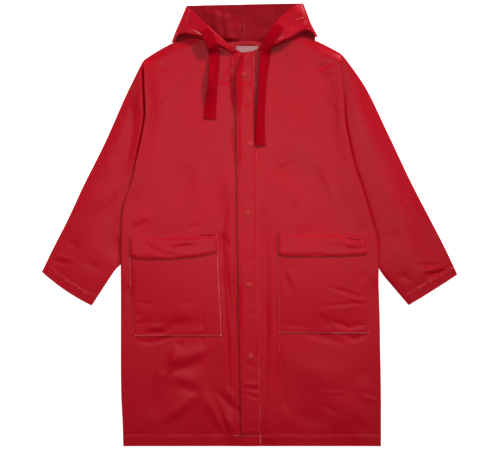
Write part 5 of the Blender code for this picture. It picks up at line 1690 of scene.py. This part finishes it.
def snap_form():
    """Domed cap of a press-stud with a grooved rim, made once at the origin."""
    bpy.ops.mesh.primitive_cylinder_add(vertices=SNAP_SIDES, radius=STRIP_SNAP_RADIUS * MM,
                                        depth=SNAP_RIM * MM, location=(0, 0, SNAP_RIM / 2 * MM))
    cap = bpy.context.object
    bpy.ops.object.transform_apply(location=True, rotation=True, scale=True)
    bpy.ops.object.mode_set(mode="EDIT")
    bpy.ops.mesh.select_all(action="DESELECT")
    bpy.ops.object.mode_set(mode="OBJECT")
    for face in cap.data.polygons:
        face.select = face.normal.z > FACES_UP
    bpy.ops.object.mode_set(mode="EDIT")
    bpy.ops.mesh.select_mode(type="FACE")
    for inset, rise in SNAP_RINGS:
        bpy.ops.mesh.inset(thickness=inset * MM, depth=rise * MM)
    bpy.ops.mesh.poke(offset=SNAP_CROWN * MM)
    bpy.ops.object.mode_set(mode="OBJECT")
    bpy.ops.object.shade_smooth_by_angle(angle=SNAP_SMOOTH)
    cap.select_set(False)
    return cap


def set_snap(form, name, node, host, spot, radius):
    """A copy of the cap, seated on the cloth below it."""
    hit, normal = drop(host, *spot)
    cap = form.copy()
    cap.data = form.data.copy()
    bpy.context.scene.collection.objects.link(cap)
    up = Vector((0, 0, 1))
    tilt = np.array(up.rotation_difference(mix(up, normal, SNAP_TILT)).to_matrix())
    spots = spots_of(cap) * (radius / STRIP_SNAP_RADIUS) @ tilt.T + np.array(hit) + (0, 0, SNAP_CLEAR * MM)
    cap.data.vertices.foreach_set("co", spots.reshape(-1).astype(np.float32))
    name_piece(cap, name, "snap")
    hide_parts(node)


def make_snaps():
    form = snap_form()
    for k, spot in enumerate(STRIP_SNAPS, start=1):
        set_snap(form, "strip_stud_%d" % k, "snap_%d" % k, "closing_strip", spot, STRIP_SNAP_RADIUS)
    for side, snaps in CUFF_SNAPS.items():
        for k, (station, across) in enumerate(snaps, start=1):
            front, outer, _, bow = sleeve_ends(side, station)
            set_snap(form, "cuff_stud_%s_%d" % (side, k), "cuff_snap_%s_%d" % (side, k),
                     "sleeve_cloth_" + side, sleeve_top(front, outer, across, bow), CUFF_SNAP_RADIUS)
    bpy.data.objects.remove(form)


def make_label():
    (left, right), (low, high) = LABEL["x"], LABEL["y"]
    columns, rows = LABEL["grid"]
    x, y = np.meshgrid(np.linspace(left, right, columns), np.linspace(low, high, rows))
    height, across, shift, up = LABEL["wave"]
    wave = height * np.sin((x - left) * across + shift) ** 2 * np.sin((y - low) * up) ** 2
    points = np.stack([x, y, LAYER + LABEL["wall"] / 2 + wave], axis=-1)
    piece = shell("bare_neck_label", "neck_label", points, "label", wall=LABEL["wall"])
    lay_weave(piece, *spots_of(piece)[:, :2].T)


def make_loop():
    (left, right), (low, high) = LOOP["x"], LOOP["y"]
    columns, rows = LOOP["grid"]
    share = np.linspace(0, 1, columns)
    arch = np.sin(np.pi * share)
    x, y = np.meshgrid(mix(left, right, share), np.linspace(low, high, rows))
    y = y + LOOP["bend"] * arch
    height, pace = LOOP["ribs"]
    z = SECOND_MID + LOOP["bow"] * arch + height * np.sin(y * pace)
    pale = LOOP["pale"] - least(y - y[:1], y[-1:] - y)
    shell("hanger_band", "hanger_loop", np.stack([x, y, z], axis=-1), pale=pale)


# Sewing ------------
def hem_line(side):
    line = HEM_LINE - SEWN["hem"][0]
    return [(float(edge_x(side, line)) - SIDES[side] * HEM_STARTS, line), (float(strip_x(line, 0.5)), line)]


def cuff_line(side):
    front, outer, _, bow = sleeve_ends(side, 8.0)
    edge = sleeve_top(front, outer, np.linspace(*CUFF_STITCHED), bow)
    away = unit(smooth(SLEEVE[side], 7.0)[:2] - smooth(SLEEVE[side], 8.0)[:2])
    run_x, run_y = edge[-1] - edge[0]
    slanted = abs(np.dot(away, unit(np.array([-run_y, run_x]))))
    return edge + away * (CUFF_DEPTH - SEWN["cuff"][0]) / slanted


def rim_lines(side):
    """Stitch lines of the hood's casing and of its rim."""
    _, high, up, run = hood_ends(side, np.linspace(*RIM_STITCHED))
    casing = high - up * (CASING - SEWN["hood"][0])
    return [casing[run[:, 0] > CASING + 1], high - up * RIM_INSET]


def grid_line(name, gap, edge):
    """A line on a piece's grid a gap inside one of its edges: side, strip, foot or head."""
    plan = grids[name][0][..., :2]
    if edge in ("side", "strip"):
        plan = plan.swapaxes(0, 1)
    start, inner = (plan[0], plan[3]) if edge in ("side", "foot") else (plan[-1], plan[-4])
    return start + unit(inner - start) * gap


def sew_jacket():
    """Stitches along every hem, edge and seam that shows them, by the piece they are sewn on."""
    strip, label = "closing_strip", "bare_neck_label"
    sewn = {"back_cloth": [bpy.data.objects["hanger_band"]]}
    for side in SIDES:
        bag = [grid_line("pocket_bag_" + side, SEWN["bag"][0], edge)[1:last] for edge, last in BAG_STITCHED]
        flap = [grid_line("pocket_flap_" + side, gap, edge)[1:-1] for edge, gap in FLAP_STITCHED]
        for cloth, seam, lines in [
                ("front_cloth_", "hem", [hem_line(side)]), ("pocket_bag_", "bag", bag),
                ("pocket_flap_", "flap", flap), ("sleeve_cloth_", "cuff", [cuff_line(side)]),
                ("hood_cloth_", "casing", rim_lines(side))]:
            sewn[cloth + side] = [sew(seam + "_stitches_" + side, lines, cloth + side)]
    edges = [grid_line(strip, STRIP_INSET, edge) for edge in ("side", "foot")]
    sewn[strip] = [sew("strip_stitches", [grid_line(strip, SEWN["strip"][0], "strip")], strip, "pale_thread",
                       width=STRIP_THREAD),
                   sew("strip_edge_stitches", edges, strip)]
    left, right = LABEL["x"][0] + LABEL["inset"], LABEL["x"][1] - LABEL["inset"]
    low, high = LABEL["y"][0] + LABEL["inset"], LABEL["y"][1] - LABEL["inset"]
    box = [(left, low), (right, low), (right, high), (left, high)]
    sewn[label] = [sew("label_stitches", list(zip(box, box[1:] + box[:1])), label, "pale_thread",
                       slot=SLOTS["label"], **LABEL["stitches"])]
    return sewn


# Stage, light and camera ------------
def make_floor():
    bpy.ops.mesh.primitive_plane_add(size=FLOOR_SIZE, location=(0, 0, FLOOR_Z))
    floor = bpy.context.object
    bpy.ops.object.transform_apply(location=True, rotation=True, scale=True)
    floor.name = "pale_floor"
    material, tree, shader = new_finish("pale_floor")
    plug(tree, shader, [("Base Color", (*FLOOR_WHITE, 1.0)), ("Roughness", FLOOR_ROUGH),
                        ("Emission Color", WHITE), ("Emission Strength", FLOOR_GLOW)])
    floor.data.materials.append(material)
    floor.select_set(False)


def add_light(name, kind, place, target, power, **settings):
    data = bpy.data.lights.new(name, kind)
    data.energy = power
    for setting, value in settings.items():
        setattr(data, setting, value)
    light = bpy.data.objects.new(name, data)
    bpy.context.scene.collection.objects.link(light)
    light.location = place
    light.rotation_euler = (Vector(target) - Vector(place)).to_track_quat("-Z", "Y").to_euler()
    return light


def make_stage():
    make_floor()
    add_light("key_spot", "SPOT", *KEY_SPOT, **KEY_SHAPE).scale = KEY_NARROWED
    add_light("side_box", "AREA", *SIDE_BOX, **SIDE_SHAPE)
    add_light("top_panel", "AREA", *TOP_PANEL, **TOP_SHAPE)
    scene = bpy.context.scene
    scene.world = bpy.data.worlds.new("studio")
    scene.world.use_nodes = True
    tree = scene.world.node_tree
    plug(tree, tree.nodes["Background"], [(0, WHITE), (1, WORLD_GLOW)])
    scene.view_settings.view_transform = "Standard"
    data = bpy.data.cameras.new("above")
    scene.camera = bpy.data.objects.new("above", data)
    scene.collection.objects.link(scene.camera)
    data.sensor_width = SENSOR
    data.lens = SENSOR * CAMERA_HEIGHT / VIEW_WIDTH
    scene.camera.location = (0.0, 0.0, CAMERA_HEIGHT)


# The jacket ------------
def make_jacket():
    for side in SIDES:
        for make in (make_drawstring, make_front, make_hood, make_sleeve, make_pocket, make_flap):
            make(side)
    for make in (make_back, make_strip, make_label, make_loop, make_snaps):
        make()
    sewn = sew_jacket()
    for name in grids:
        if name in sewn:
            declare(name)


grids, drapes = {}, {}  # of the pieces: grid and kept cells, and faces for rays to meet
bpy.ops.object.select_all(action="DESELECT")
make_stage()
groups = {"grain": coated_grain(), "pale": pale_line(), "woven": woven()}
finishes = {
    "cloth": cloth_finish("coated_cloth_red", RED, RED_DEEP, rough=0.36, dents=0.30),
    # The hood's inside, in a darker red that paints shade on it
    "lining": cloth_finish("coated_cloth_inside_shaded", LINING_SHADED_RED, LINING_SHADED_DEEP, rough=0.6, dents=0.6),
    "tape": tape_finish("drawstring_tape_red", TAPE_RED, ribs=2600.0, slant=3.0, rough=0.9),
    # The label, painted darker with the hood's shade
    "label": tape_finish("label_satin_pale_shaded", LABEL_SHADED_PINK, ribs=14000.0, slant=0.15, rough=0.55),
    "thread": plain_finish("thread_red", THREAD_RED, rough=0.6, grain_scale=2400.0, depth=0.0001),
    "pale_thread": plain_finish("thread_pale", THREAD_PALE, rough=0.7, grain_scale=2400.0, depth=0.0001),
    "snap": plain_finish("stud_enamel_red", SNAP_RED, rough=0.38, grain_scale=900.0, depth=0.00003),
}
make_jacket()
